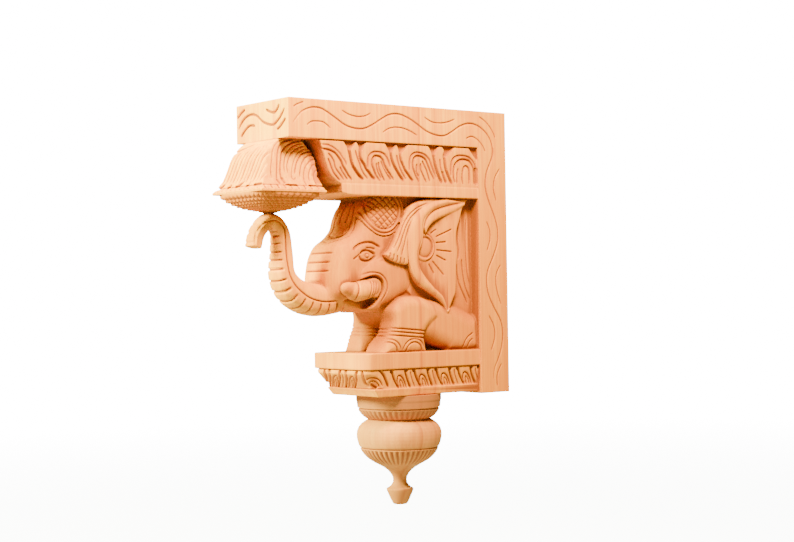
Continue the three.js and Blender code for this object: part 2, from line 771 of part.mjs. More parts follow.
function elephantLines() {
  const lines = [];
  const fine = (points, faceX) => lines.push(sideLine(points, faceX, fineWidth, fineDepth));
  // Medallion: inner ring and lattice
  for (const slope of [1, -1]) {
    for (const shift of [-6, 6]) {
      const start = new THREE.Vector2(medallionCentre.x - 11 + shift, medallionCentre.y - 11 * slope);
      const end = new THREE.Vector2(medallionCentre.x + 11 + shift, medallionCentre.y + 11 * slope);
      fine([start, end], medallionHalf);
    }
  }
  // Eye, brow and the line round the mouth
  fine(arc(eyeCentre, 7.5, 5, 20, 340, 6), headHalf);
  fine(arc(eyeCentre, 17, 12, 25, 165, 4), headHalf);
  fine(openCurve([figure(0.670, 0.460), figure(0.626, 0.472), figure(0.582, 0.488), figure(0.544, 0.472),
    figure(0.534, 0.420), figure(0.546, 0.363), figure(0.579, 0.332)], 6), cheekHalf);
  // Ear: rays round the half flower
  fine(arc(flowerCentre, 9, 10, -80, 80, 4), earHalf);
  for (let k = 0; k < 5; k += 1) {
    const angle = THREE.MathUtils.degToRad(THREE.MathUtils.lerp(-60, 48, k / 4));
    const from = 13;
    const to = 27;
    fine([from, to].map((r) => new THREE.Vector2(
      flowerCentre.x + Math.cos(angle) * r, flowerCentre.y + Math.sin(angle) * r)), earHalf);
  }
  // Lock of hair: two long lines
  for (const shift of [0, 1]) {
    fine(openCurve([figure(0.375 - shift * 0.03, 0.87), figure(0.418 - shift * 0.03, 0.75),
      figure(0.455 - shift * 0.028, 0.62)], 4), lockHalf);
  }
  // Anklets and toenails
  for (const up of [0.105, 0.145]) {
    fine([figure(0.53, up), figure(0.40, up - 0.006), figure(0.29, up)], legHalf);
  }
  for (const along of [0.465, 0.355]) {
    fine(arc(figure(along, 0), 13, 11, 10, 170, 3), legHalf);
  }
  return lines;
}

// Turned pendant

function pendantProfile() {
  const grooved = (radius) => radius - turnedGroove;
  const profile = [
    [0, 0], [ringRadius, 0], [ringRadius, ringHeight], [cupRadius, ringHeight + ringStep],
    [cupRadius, cupHeight - grooveHalfHeight], [grooved(cupRadius), cupHeight],
    [cupRadius, cupHeight + grooveHalfHeight], [neckRadius, neckDrop],
  ];
  const ballSteps = 3;
  for (let i = 1; i <= ballSteps; i += 1) {
    const rise = Math.sin(Math.PI / 2 * i / ballSteps);
    const run = 1 - Math.cos(Math.PI / 2 * i / ballSteps);
    profile.push([neckRadius + (ballRadius - neckRadius) * rise, neckDrop + (ballDrop - neckDrop) * run]);
  }
  const coneTop = ballBandDrop + grooveHalfHeight;
  profile.push([bandRadius, ballBandDrop - grooveHalfHeight], [grooved(bandRadius), ballBandDrop]);
  profile.push([bandRadius, coneTop]);
  const coneSteps = 4;
  for (let i = 1; i <= coneSteps; i += 1) {
    const share = i / coneSteps;
    const drop = THREE.MathUtils.lerp(coneTop, stemDrop, share);
    profile.push([stemRadius + (bandRadius - stemRadius) * (1 - share) ** 1.25, drop]);
  }
  profile.push([discRadius, discDrop], [discRadius, discDrop + discHeight]);
  profile.push([tipRadius, pendantLength], [0, pendantLength]);
  return profile;
}

function pendant() {
  const profile = pendantProfile().reverse();
  const crown = footRailBottom - pendantGap;
  const points = profile.map(([radius, drop]) => new THREE.Vector2(radius, -drop));
  const geometry = new THREE.LatheGeometry(points, fluteCount * 2);
  geometry.rotateX(Math.PI / 2);
  const position = geometry.attributes.position;
  const fluted = (drop) => (drop > cupHeight + 1 && drop < neckDrop + 1)
    || (drop > ballBandDrop + 1 && drop < stemDrop - fluteMargin);
  for (let i = 0; i < position.count; i += 1) {
    const column = Math.floor(i / points.length);
    const drop = -position.getZ(i);
    if (column % 2 === 1 && fluted(drop)) {
      const radius = Math.hypot(position.getX(i), position.getY(i));
      const pulled = (radius - fluteDepth) / radius;
      position.setXY(i, position.getX(i) * pulled, position.getY(i) * pulled);
    }
  }
  geometry.translate(0, -pendantReach, crown);
  return geometry;
}

// Assembly

const carved = joined([
  solid(block(plankHalf, 0, postDepth, -top, top)),
  solid(block(plankHalf, postDepth - bite, beamReach, beamBottom, top)),
  solid(frieze()),
  solid(rail()),
  solid(bell()),
  solid(cushion()),
  solid(web()),
  platform(),
  elephant(),
]);

const lines = joined([
  ...waveLines(),
  ...noseLines(),
  ...friezeLines(),
  ...bellLines(),
  ...leafBandLines(),
  ...elephantLines(),
]);

function meshOf(body, name, material) {
  const { vertProperties, triVerts } = body.getMesh();
  const geometry = new THREE.BufferGeometry();
  geometry.setAttribute('position', new THREE.BufferAttribute(new Float32Array(vertProperties), 3));
  geometry.setIndex(new THREE.BufferAttribute(new Uint32Array(triVerts), 1));
  const mesh = new THREE.Mesh(geometry, material);
  mesh.name = name;
  return mesh;
}

const bracket = new THREE.Group();
const carvedTimber = new THREE.MeshStandardMaterial({ color: 0xe3a46c, roughness: 0.62, metalness: 0 });
const turnedTimber = new THREE.MeshStandardMaterial({ color: 0xe0a06a, roughness: 0.58, metalness: 0 });
bracket.add(meshOf(carved.subtract(lines), 'carved_bracket', carvedTimber));
bracket.add(meshOf(solid(pendant()), 'turned_pendant', turnedTimber));

export default bracket;
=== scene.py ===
import math

import bpy
import numpy as np
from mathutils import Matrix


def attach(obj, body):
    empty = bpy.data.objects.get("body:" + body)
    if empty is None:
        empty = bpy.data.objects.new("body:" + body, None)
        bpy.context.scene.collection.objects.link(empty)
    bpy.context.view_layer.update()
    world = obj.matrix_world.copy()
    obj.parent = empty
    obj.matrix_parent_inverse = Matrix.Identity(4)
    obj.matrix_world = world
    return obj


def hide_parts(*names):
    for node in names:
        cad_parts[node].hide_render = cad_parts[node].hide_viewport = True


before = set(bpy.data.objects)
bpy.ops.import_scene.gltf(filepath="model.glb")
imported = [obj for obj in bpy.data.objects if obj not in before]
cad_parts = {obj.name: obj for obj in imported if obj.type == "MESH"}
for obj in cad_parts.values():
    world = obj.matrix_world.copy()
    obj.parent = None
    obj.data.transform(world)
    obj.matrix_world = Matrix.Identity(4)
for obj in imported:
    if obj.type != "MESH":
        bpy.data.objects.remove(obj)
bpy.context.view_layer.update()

import openvdb
from mathutils import Matrix, Vector

# The bracket is worked out in millimetres: across the plank (X), reach from the wall (-Y) and
# level (Z). The carving is a field of distances to the surface, negative in the timber.
STEP = 0.8
FACES = 194000
MM = 0.001

# Sizes shared with the solid
HALF = 52.0
POST = 44.0
TOP = 165.5
BEAM_REACH = 311.0
BEAM_LOW = 122.5
FRIEZE_LOW = 75.0
RAIL_LOW = 62.5
SLAB_TOP = -113.5
SLAB_LOW = -132.0
BAND_LOW = -154.0
FOOT_LOW = -163.0
RAIL_REACH = 241.0
PLATFORM = 210.0
BELL = 302.5
FIGURE_FRONT = 300.5
BEAD_TOP = 70.6
DOME_TOP = 64.6
DOME_DEPTH = 21.0
RIM_HALF = 50.0
RIM_DEEP = 42.0
STRIDE = 14.5

# How far from the plank's middle the main carved faces stand
FRIEZE_FACE = 50.8
RAIL_FACE = 51.2
HEAD_FACE = 37.0
CHEEK_FACE = 42.5
EAR_FACE = 42.4
HAUNCH_FACE = 47.0
LEG_FACE = 50.0


def figure(along, up):
    return (POST + along * (FIGURE_FRONT - POST), SLAB_TOP + up * (RAIL_LOW - SLAB_TOP))


def smooth(points, closed=False, per=5):
    """A Catmull-Rom line through the points."""
    p = np.asarray(points, float)
    n = len(p)
    ends = n if closed else n - 1
    made = []
    for i in range(ends):
        if closed:
            a, b, c, d = p[i - 1], p[i], p[(i + 1) % n], p[(i + 2) % n]
        else:
            a, b, c, d = p[max(i - 1, 0)], p[i], p[i + 1], p[min(i + 2, n - 1)]
        for k in range(per):
            t = k / per
            made.append(0.5 * (2 * b + (c - a) * t + (2 * a - 5 * b + 4 * c - d) * t * t
                               + (3 * b - a - 3 * c + d) * t ** 3))
    if not closed:
        made.append(p[-1])
    return np.array(made)


def lines_of(table, wider=1.0, deeper=1.0, per=5):
    """Carved lines from a table of their widths, depths and points."""
    return [(smooth(points, per=per), wider * width, deeper * depth) for width, depth, points in table]


def to_line(points, U, V):
    """Distance from each place to a line, and where along it, in whole points."""
    p = np.asarray(points, np.float32)
    best = np.full(np.broadcast(U, V).shape, 1e9, np.float32)
    place = np.zeros_like(best)
    for i in range(len(p) - 1):
        du, dv = p[i + 1] - p[i]
        square = max(du * du + dv * dv, 1e-9)
        t = np.clip(((U - p[i, 0]) * du + (V - p[i, 1]) * dv) / square, 0, 1)
        gap = np.hypot(U - p[i, 0] - t * du, V - p[i, 1] - t * dv)
        near = gap < best
        best = np.where(near, gap, best)
        place = np.where(near, i + t, place)
    return best, place


def to_outline(points, U, V):
    """Signed distance to a closed outline, negative inside."""
    p = np.asarray(points, np.float32)
    gap = to_line(np.vstack([p, p[:1]]), U, V)[0]
    inside = np.zeros(gap.shape, bool)
    for a, b in zip(p, np.roll(p, -1, 0)):
        if a[1] == b[1]:
            continue
        crosses = (a[1] > V) != (b[1] > V)
        inside ^= crosses & (U < (b[0] - a[0]) * (V - a[1]) / (b[1] - a[1]) + a[0])
    return np.where(inside, -gap, gap)


def carve(lines, U, V):
    """Depth cut at each place by tapering V-shaped lines."""
    cut = np.zeros((U.shape[0], V.shape[1]), np.float32)
    for points, width, depth in lines:
        p = np.asarray(points, float)
        low, high = p.min(0) - width, p.max(0) + width
        a, b = np.searchsorted(U[:, 0], (low[0], high[0]))
        c, d = np.searchsorted(V[0], (low[1], high[1]))
        if a >= b or c >= d:
            continue
        gap, place = to_line(p, U[a:b], V[:, c:d])
        share = place / (len(p) - 1)
        taper = np.clip(np.minimum(share, 1 - share) / 0.1, 0.0, 1) ** 0.5
        slope = np.clip(1 - gap / (width / 2 * (0.5 + 0.5 * taper)), 0, 1)
        here = depth * (0.25 + 0.75 * taper) * slope * (1.6 - 0.6 * slope)
        cut[a:b, c:d] = np.maximum(cut[a:b, c:d], here)
    return cut


def soft_max(a, b, k=0.8):
    h = np.clip(0.5 - 0.5 * (b - a) / k, 0, 1)
    return b + (a - b) * h + k * h * (1 - h)


def soft_min(a, b, k):
    h = np.clip(0.5 + 0.5 * (b - a) / k, 0, 1)
    return b + (a - b) * h - k * h * (1 - h)


def ramp(x, low, high):
    t = np.clip((x - low) / (high - low), 0, 1)
    return t * t * (3 - 2 * t)


def tent(offset, width):
    """1 on a line, falling straight to 0 at a width on either side of it."""
    return np.clip(1 - np.abs(offset) / width, 0, 1)


def outside(value, low, high):
    """Signed distance to a range, negative inside."""
    return np.maximum(value - high, low - value)


def spread(x, r, z):
    """Samples along the three axes, laid out so that they combine."""
    return x[:, None, None], r[None, :, None], z[None, None, :]


def steepness(surface):
    du, dv = np.gradient(surface, STEP)
    return np.sqrt(1 + np.minimum(du * du + dv * dv, 9))


def off_face(x, height):
    """Distance out from a face that stands at a height from the plank's middle."""
    return (np.abs(x)[:, None, None] - height[None]) / steepness(height)[None]


def rounded(inner, size, drop):
    """How far a face falls back near its edge, on a quarter ellipse."""
    share = np.clip(1 - inner / size, 0, 1)
    return drop * (1 - np.sqrt(np.maximum(1 - share * share, 0)))


class Grid:
    """A box of samples of the field."""

    def __init__(self, across, reach, level, values=None):
        self.axes = (across, reach, level)
        shape = tuple(len(a) for a in self.axes)
        self.values = np.full(shape, 6.0, np.float32) if values is None else values

    def window(self, reach, level, across=(-99, 99)):
        cuts = []
        for axis, (low, high) in zip(self.axes, (across, reach, level)):
            i = max(int(np.searchsorted(axis, low)) - 1, 0)
            cuts.append(slice(i, min(int(np.searchsorted(axis, high)) + 1, len(axis))))
        x, r, z = (a[c].astype(np.float32) for a, c in zip(self.axes, cuts))
        return tuple(cuts), x, r, z

    def add(self, cuts, solid, blend=0.0):
        here = self.values[cuts]
        self.values[cuts] = soft_min(here, solid, blend) if blend else np.minimum(here, solid)

    def cut(self, cuts, solid, blend):
        self.values[cuts] = soft_max(self.values[cuts], -solid, blend)


def relief(grid, outline, face, size, drop, lines=(), blend=0.0, inner=None, take=False):
    """A form with a side-view outline whose face stands at a given distance across."""
    p = np.asarray(outline, float)
    margin = 3 + blend
    low, high = p.min(0) - margin, p.max(0) + margin
    across = (-99, 99) if inner is None else (inner - margin, 99)
    cuts, x, r, z = grid.window((low[0], high[0]), (low[1], high[1]), across)
    R, Z = r[:, None], z[None, :]
    edge = to_outline(p, R, Z)
    height = face(R, Z) if callable(face) else np.full(edge.shape, face, np.float32)
    height = height - rounded(-edge, size, drop) - carve(lines, R, Z)
    out = off_face(x, height)
    if inner is not None:
        out = soft_max(out, inner + rounded(-edge, size, drop)[None] - np.abs(x)[:, None, None], 2)
    solid = soft_max(out, edge[None])
    if take:
        grid.cut(cuts, solid, blend)
    else:
        grid.add(cuts, solid, blend)


# Lines on the faces of the plank

BEAM_WAVE = [
    (305, 138), (300, 144), (294, 150), (286, 154), (277, 156), (267, 155), (258, 151), (247, 145),
    (236, 139), (224, 136), (211, 136), (198, 141), (184, 149), (173, 154), (160, 155), (146, 151),
    (134, 145), (121, 138), (107, 134), (94, 134), (83, 139), (71, 146), (58, 150), (46, 149), (35, 144),
    (26, 136), (21, 125), (21, 114), (26, 103), (31, 92), (33, 78), (29, 63), (20, 44), (15, 29),
    (15, 12), (22, -5), (31, -22), (33, -36), (30, -51), (21, -67), (12, -81), (9, -97), (12, -114),
    (17, -126), (23, -137), (25, -149)]
ACCENTS = [
    [(304, 155), (299, 158), (291, 161)], [(287, 136), (281, 140), (273, 141), (264, 140), (255, 134)],
    [(240, 155), (231, 151), (220, 149), (209, 150), (200, 154)],
    [(184, 133), (175, 138), (164, 140), (153, 139), (143, 136), (134, 132)],
    [(124, 154), (113, 149), (102, 148), (89, 150), (78, 154)],
    [(41, 159), (30, 153), (21, 144), (16, 135)], [(62, 132), (53, 135), (44, 132), (36, 125), (32, 118)],
    [(10, 99), (18, 87), (20, 74), (16, 60)], [(32, 36), (27, 26), (27, 14), (32, 1)],
    [(11, -15), (18, -27), (18, -42), (11, -62)], [(31, -74), (23, -87), (22, -101), (28, -116)],
    [(12, -132), (19, -145), (19, -158)]]
NOSE_LINES = [
    [(-51, 151), (-43, 156), (-34, 160)], [(-43, 130), (-34, 137), (-25, 141), (-14, 140)],
    [(-48, 139), (-40, 147), (-30, 152), (-19, 153), (-9, 150), (0, 144), (10, 140), (22, 138),
     (31, 142), (39, 148), (44, 154)],
    [(8, 156), (15, 153), (24, 151), (30, 154), (34, 159)], [(29, 132), (37, 136), (46, 143)]]


def plank(grid):
    lines = [(smooth(BEAM_WAVE, per=3), 2.6, 1.7)]
    lines += [(smooth(a), 2.2, 1.4) for a in ACCENTS]
    for reach, level in (((0, POST), (-TOP, TOP)), ((POST - 4, BEAM_REACH), (BEAM_LOW, TOP))):
        cuts, x, r, z = grid.window((reach[0] - 3, reach[1] + 3), (level[0] - 3, level[1] + 3))
        R, Z = r[:, None], z[None, :]
        side = x[:, None, None] - (HALF - carve(lines, R, Z))[None]
        grid.add(cuts, soft_max(side, soft_max(outside(R, *reach), outside(Z, *level))[None]))


def nose_of_beam(grid):
    span = (BEAM_REACH - 4, BEAM_REACH + 2)
    cuts, x, r, z = grid.window(span, (BEAM_LOW - 2, TOP + 2), (-54, 54))
    cut = carve([(smooth(a), 3.8, 3.0) for a in NOSE_LINES], x[:, None], z[None, :])
    solid = r[None, :, None] - (BEAM_REACH - cut)[:, None, :]
    inside = ((z > BEAM_LOW + 2)[None, :] & (cut > 0.02))[:, None, :]
    here = grid.values[cuts]
    grid.values[cuts] = np.where(inside, np.maximum(here, solid), here)


# Frieze

def nose(down):
    """Reach of the frieze's nose at a share of its height below the beam."""
    return np.interp(down, [0, 0.08, 0.19, 0.37, 0.53, 0.735, 0.85, 0.96, 1],
                     [271, 268.5, 266.5, 264, 261.5, 257.7, 253.8, 247.1, 243])


# Cuts on the petals and the narrow leaves between them: width, depth and line
FRIEZE_CUTS = [
    (3.4, 3.4, [(231, 121), (230.8, 114), (228.9, 107), (227.7, 101), (225, 94), (221, 89), (217, 84.5),
                (211, 79.5)]),
    (3.2, 3.2, [(213, 121), (215, 112), (215.2, 107), (213.9, 102), (210, 97), (207, 92), (203, 88),
                (199, 83.5), (195, 80.3)]),
    (3.2, 3.2, [(173.5, 118), (171.8, 108.6), (170.5, 103), (167.8, 97), (163.6, 91), (159.4, 85.4),
                (154.5, 79.9)]),
    (2.9, 2.9, [(155.5, 119), (158.9, 112.5), (158, 104), (155, 98), (152, 92.4), (148, 88), (143.6, 83),
                (140.5, 80)]),
    (3.4, 3.4, [(112, 118), (109.4, 107.7), (108, 101), (106, 95), (103.8, 89.5), (101, 84),
                (98, 79.4)]),
    (3.3, 3.3, [(90, 119), (94, 112), (93.7, 106), (93.1, 100.3), (91.7, 94.6), (89, 89), (86, 83.2),
                (83, 78.7)]),
    (2.0, 1.6, [(221.5, 112), (220, 107), (218, 102), (215.5, 96.8), (213.5, 91.3), (210, 86),
                (204.7, 80.5)]),
    (2.0, 1.6, [(163.5, 109), (162.6, 104), (161, 99), (159.2, 94.4), (156, 88.9), (150.5, 82)]),
    (2.0, 1.6, [(100.5, 107), (99.9, 99), (97.8, 92)]), (3.0, 2.6, [(97.5, 93), (95, 86), (92, 79.5)]),
    (2.0, 1.3, [(267, 116), (261, 116.5), (254.5, 115), (249, 112.5), (244, 109), (240, 104.7),
                (236, 100), (233.5, 95)]),
    (2.4, 2.2, [(266.5, 111.7), (261, 111.4), (254.6, 110), (249, 107.6), (245.3, 104), (241.3, 99),
                (238.7, 93.7), (234.7, 88.4), (230.8, 83), (226.7, 78.7)]),
    (1.9, 1.6, [(258.6, 107.2), (254.7, 104), (250.8, 98.7), (249.5, 93.3), (247, 89), (243, 84.8),
                (237.6, 78.4)]),
    (2.0, 1.8, [(258.7, 101.7), (256.2, 96.3), (253.6, 90), (251, 85.6), (247, 81.4), (243, 77.5)]),
    (1.9, 1.6, [(243, 93), (240, 88), (236, 83), (232.5, 79)]),
    (2.3, 1.7, [(204.4, 92), (204.4, 101.7), (202, 107.4), (195.7, 111), (187.3, 111.2), (180.3, 108.6),
                (176, 103), (173, 95)]),
    (2.4, 2.2, [(187.9, 78.8), (193.4, 85.4), (196.1, 90.8), (198.6, 96.3), (198.6, 101), (196.6, 105),
                (193, 106.8), (187.4, 106), (183.2, 102.5), (180.5, 96), (176.4, 90.4), (172.3, 85.5),
                (168, 80.6)]),
    (1.9, 1.7, [(192.5, 99), (192, 93), (189.5, 87), (186, 82)]),
    (1.9, 1.7, [(189.6, 100), (189, 94.5), (186.5, 88), (181, 78.7)]),
    (1.9, 1.7, [(186, 101.3), (183.4, 95.8), (179.3, 89.2), (172.5, 80.5)]),
    (2.3, 1.7, [(145.6, 92.6), (145.4, 100.6), (143.1, 108.6), (137.2, 112.5), (129.9, 112.8),
                (122.6, 110.8), (116.8, 106.3), (114, 100.7), (111, 94), (105.4, 85)]),
    (2.4, 2.2, [(132, 79.5), (135.6, 85), (138.4, 90.6), (140.4, 96.2), (140.3, 102), (138.4, 106.5),
                (134.3, 109), (128.5, 108.7), (122.7, 106), (119.8, 101.6), (117, 96), (114.2, 90.3),
                (109.5, 83)]),
    (1.9, 1.7, [(134.5, 100), (135.4, 95.3), (134.8, 89.6), (131.9, 85.2)]),
    (1.9, 1.7, [(128.9, 101), (129.5, 95.5), (127.4, 90), (121, 79)]),
    (1.9, 1.7, [(127, 104), (122.9, 97), (120, 91.3), (116, 80.5)]),
    (2.3, 1.7, [(84.3, 88), (84.2, 97.2), (82.5, 105.3), (77.8, 110.2), (70.2, 112.2), (59.5, 111.5),
                (52, 107.7), (47.4, 102), (46.4, 94)]),
    (2.4, 2.2, [(78.4, 80.5), (80.4, 88), (79.6, 97.3), (76.5, 103.2), (70.3, 107), (64.2, 107.8),
                (56.5, 106.4), (52.2, 102), (50, 96), (49.6, 79.7)]),
    (1.9, 1.5, [(75.5, 79.5), (75.3, 90), (73, 97)]),
    (2.0, 1.8, [(66.3, 79.2), (67.7, 86.1), (66, 95.5), (64.4, 99), (61, 100.3), (57.2, 97), (56.6, 90),
                (57.1, 79.4)]),
    (4.5, 3.4, [(46.6, 99), (46.8, 79.5)])]

# Hollows between the petals' heads: both ends of the top, and the foot's reach and level
FRIEZE_WEDGES = [
    (234.5, 223.5, 229, 112.5), (217, 209.5, 214, 111.5), (177, 166, 172.2, 111.5),
    (161.5, 150.5, 158.6, 111), (114.8, 105.2, 110, 111), (94, 82.5, 92.4, 110), (53.5, 41, 45, 109)]
# The left side of a hollow's top, from its end
WEDGE_SIDE = np.array([(6.5, 0.4), (4.0, -0.8), (1.7, -2.4), (0.1, -5.0)])
WEDGE_DEPTH = 3.8


def frieze(grid):
    cuts, x, r, z = grid.window((POST - 4, 275), (FRIEZE_LOW - 3, BEAM_LOW + 3))
    R, Z = r[:, None], z[None, :]
    ends = np.maximum(R - nose((BEAM_LOW - Z) / (BEAM_LOW - FRIEZE_LOW)), POST - 3 - R)
    ends = np.maximum(ends, np.maximum(Z - BEAM_LOW - 1, FRIEZE_LOW - 1 - Z))
    cut = carve(lines_of(FRIEZE_CUTS, 1.35, 1.2, per=4), R, Z)
    for one, other, foot, level in FRIEZE_WEDGES:
        left, right = WEDGE_SIDE + (one, BEAM_LOW), WEDGE_SIDE * (-1, 1) + (other, BEAM_LOW)
        foot_line = [(foot + 0.8, level), (foot - 0.8, level)]
        edge = to_outline(np.vstack([left, foot_line, right[::-1]]), R, Z)
        cut = np.maximum(cut, WEDGE_DEPTH * np.clip(0.4 - edge / 1.6, 0, 1))
    cut = np.maximum(cut, 2.6 * tent(Z - BEAM_LOW + 0.4, 1.3))
    height = FRIEZE_FACE - rounded(-ends, 3.0, 1.6) - cut
    grid.add(cuts, soft_max(off_face(x, height), ends[None]))


def rail(grid):
    cuts, x, r, z = grid.window((POST - 4, RAIL_REACH + 3), (RAIL_LOW - 3, FRIEZE_LOW + 3))
    R, Z = r[:, None], z[None, :]
    low = RAIL_LOW + 2.4 * np.clip((R - 224) / 17, 0, 1) ** 2
    ends = soft_max(outside(R, POST - 3, RAIL_REACH), outside(Z, low, FRIEZE_LOW), 1.5)
    grid.add(cuts, soft_max(x[:, None, None] - RAIL_FACE, ends[None], 1.2))
    # Narrow neck from the rail to the capital
    cuts, x, r, z = grid.window((RAIL_REACH - 3, BELL), (DOME_TOP, BEAM_LOW + 2))
    X, R, Z = spread(x, r, z)
    ends = np.maximum(outside(R, RAIL_REACH - 2, BELL), np.maximum(DOME_TOP + 1 - Z, Z - BEAM_LOW - 1))
    grid.add(cuts, np.maximum(X - 22.0, ends))


# Lotus capital: its half width and the reach of its front and back, by the drop below the beam

BELL_DROP = [-2, 0, 3, 6.9, 11.4, 15.9, 21.5, 27, 32.5, 38, 43.5, 49.2, 53.7, 57.6, 60]
BELL_HALF = [32, 32.2, 32.4, 32.6, 32.9, 33.7, 35.2, 36.4, 37.8, 39.3, 41.3, 45.4, 48.6, 51.0, 51.0]
BELL_FRONT = [
    309, 311, 317, 321.8, 325.9, 328.8, 331.3, 332.8, 334.3, 335.9, 337.7, 340.8, 343.3, 345, 345]
BELL_BACK = [
    285, 282, 277.5, 273.9, 268.7, 266.7, 265.2, 264.3, 264.4, 264.4, 264.3, 263.2, 261.5, 260, 260]

# Cuts on its sides, by reach and level, and on its front, across and by level
BELL_SIDE = [
    (1.9, 1.3, [(307, 121), (313, 117), (318.8, 109), (322, 98), (325, 88), (326.3, 78.5)]),
    (2.0, 1.7, [(292, 122), (300, 120.6), (306.6, 117.5), (310.8, 111.8), (313.6, 104), (316, 93),
                (318.8, 82), (320.5, 74.5)]),
    (2.2, 1.9, [(281, 120.8), (289, 119.6), (296, 117), (302, 113.3), (307.4, 107), (310.3, 98.6),
                (313, 87.5), (314, 78.7), (314, 74)]),
    (1.9, 1.3, [(279, 118.2), (286, 117), (293, 114), (299.6, 108.5), (304.5, 101), (307, 92),
                (307.6, 85.5)]),
    (1.9, 1.4, [(276, 115.5), (283, 114), (290, 110.5), (296, 105.5), (301, 98), (303.6, 91),
                (303.7, 84)]),
    (1.8, 1.2, [(272, 112.8), (279, 111.5), (286, 107.5), (291.5, 101), (295.4, 94), (298.4, 86),
                (300, 79.5), (297, 77.6), (294.5, 81)]),
    (2.1, 1.7, [(266, 110), (273, 109.3), (279.5, 107), (284.5, 103.4), (289, 97.5), (292.5, 90.5),
                (295, 84)]),
    (2.0, 1.5, [(265.6, 106), (272, 105.2), (278, 102), (282.5, 96.6), (286.5, 89), (289.2, 80)]),
    (1.9, 1.4, [(265, 101), (271, 99.4), (276.5, 95), (281, 89), (284, 80.5), (285, 73.5)]),
    (1.8, 1.3, [(264.4, 95.5), (269.5, 94), (274, 89), (277, 82), (278, 75)]),
    (1.8, 1.3, [(264.4, 89), (268, 87), (270.6, 81), (271.4, 75)]),
    (3.6, 2.4, [(320.4, 77.5), (318, 71.8)]), (4.0, 2.8, [(313.6, 79), (311, 72.5)]),
    (2.4, 2.2, [(312, 71.6), (306, 70.9), (296.5, 70.8)]), (3.0, 1.8, [(285, 76), (284, 71.5)]),
    (3.0, 1.8, [(271, 76), (270, 71)]), (2.2, 1.7, [(282, 70.9), (272, 70.9), (262, 70.6)])]
BELL_NOTCHES = [
    (3.4, 2.8, [(-53, 69.8), (-46, 70.6), (-38, 72.4), (-32, 75)]),
    (3.4, 2.8, [(-25, 70.6), (-20, 71.2), (-17.5, 74.5)]),
    (3.4, 2.8, [(-9, 70.8), (-2.5, 71.6), (3, 74.4), (6, 77.5)]),
    (3.0, 2.4, [(13.4, 70.6), (18.2, 71.4), (18.6, 77)]),
    (3.0, 2.6, [(28, 71.4), (36, 71.4), (44, 71.9)])]


def bell_strands():
    """Strands on the front that sweep down from the upper right."""
    lines = []
    for k in range(13):
        foot = -46.0 + 6.9 * k
        path = [(foot + lean, level)
                for lean, level in ((0, 75), (3.0, 84), (5.6, 93), (8.2, 102), (12.5, 110))]
        path += [(foot * 0.62 + 14.0, 116.0), (foot * 0.45 + 20.0, 120.6)]
        lines.append((smooth(path, per=4), 3.6, 1.8 if k % 2 else 2.6))
    return lines


def bell(grid):
    cuts, x, r, z = grid.window((BELL - 46, BELL + 46), (DOME_TOP - 3, BEAM_LOW + 3), (-54, 54))
    X, R, Z = spread(x, r, z)
    half, fore, rear = (np.interp(BEAM_LOW - z, BELL_DROP, at).astype(np.float32)
                        for at in (BELL_HALF, BELL_FRONT, BELL_BACK))
    ease = 1 / np.sqrt(1 + np.gradient(half, STEP) ** 2)
    rim = 1.2 * ramp(z, 69.8, 71.2) - 1.0
    under = 1.6 * tent(z - DOME_TOP - 0.2, 1.4) + 1.3 * tent(z - 70.8, 1.2)

    def beads(along, pitch):
        """A row of beads: notches between them that fade out downwards."""
        notch = 2.4 * tent(np.abs((along / pitch) % 1 - 0.5) * pitch, 1.9)
        return notch[:, None] * ramp(z, 65.6, 68) * (1 - ramp(z, 70.2, 71.2))

    side_cut = carve(lines_of(BELL_SIDE, 1.3, 0.95, per=4), r[:, None], z[None, :]) + beads(r, 8.6)
    front = lines_of(BELL_NOTCHES, 1.3, 1.2, per=4) + bell_strands()
    front_cut = carve(front, x[:, None], z[None, :]) + beads(x, 8.9)
    flank = np.abs(X) - (half - rim - under) + side_cut[None]
    before = R - (fore - rim - under) + front_cut[:, None, :]
    behind = rear - R + (front_cut * 0.8)[:, None, :]
    bend = np.where(X > 0, 1.5 + 4.5 * ramp(z, 76, 86)[None, None, :], 1.5)
    plan = soft_max(round_corner(flank, before, bend), behind, 1.6) * ease
    grid.add(cuts, np.maximum(plan, np.maximum(Z - BEAM_LOW - 1, DOME_TOP - 0.5 - Z)))
    dome(grid)


def round_corner(flank, fore, bend):
    """Plan distance to two faces that meet in a corner of a given radius."""
    u, v = np.maximum(flank + bend, 0), np.maximum(fore + bend, 0)
    return np.where((u > 0) & (v > 0), np.hypot(u, v) - bend, np.maximum(flank, fore))


def dome(grid):
    """Underside of the capital: rings of scales down to a boss."""
    low = DOME_TOP - DOME_DEPTH - 3
    cuts, x, r, z = grid.window((BELL - 46, BELL + 46), (low, BEAD_TOP - 3), (-54, 54))
    U, V = x[:, None] / RIM_HALF, (r - BELL)[None, :] / RIM_DEEP
    ring = (np.abs(U) ** 5 + np.abs(V) ** 5) ** (1 / 5)
    wide, deep = np.abs(U), np.abs(V)
    around = np.where(wide > deep, 5.0 * V / np.maximum(wide, 0.05), 6.0 * U / np.maximum(deep, 0.05))
    inside = np.clip(1 - ring * ring, 0, 1)
    row = (1 - ring) * 9.2
    place = (around + 0.5 * (np.floor(row) % 2)) % 1
    scale = np.sqrt(np.clip(1 - (2 * place - 1) ** 2, 0, 1))
    fall = row % 1
    drop = (DOME_DEPTH - 3.0) * inside ** 0.72
    drop += 3.4 * scale ** 1.3 * (1 - fall) ** 0.7 * np.clip(fall * 9, 0, 1) * ramp(ring, 0.12, 0.24)
    drop += 3.6 * (1 - ramp(ring, 0.12, 0.24))
    level = (DOME_TOP - drop)[:, :, None] - z[None, None, :]
    level = level / steepness(drop)[:, :, None]
    walls = ((ring - 1) * RIM_DEEP)[:, :, None]
    grid.add(cuts, np.maximum(np.maximum(level, walls), z[None, None, :] - DOME_TOP - 1.5))


# Elephant

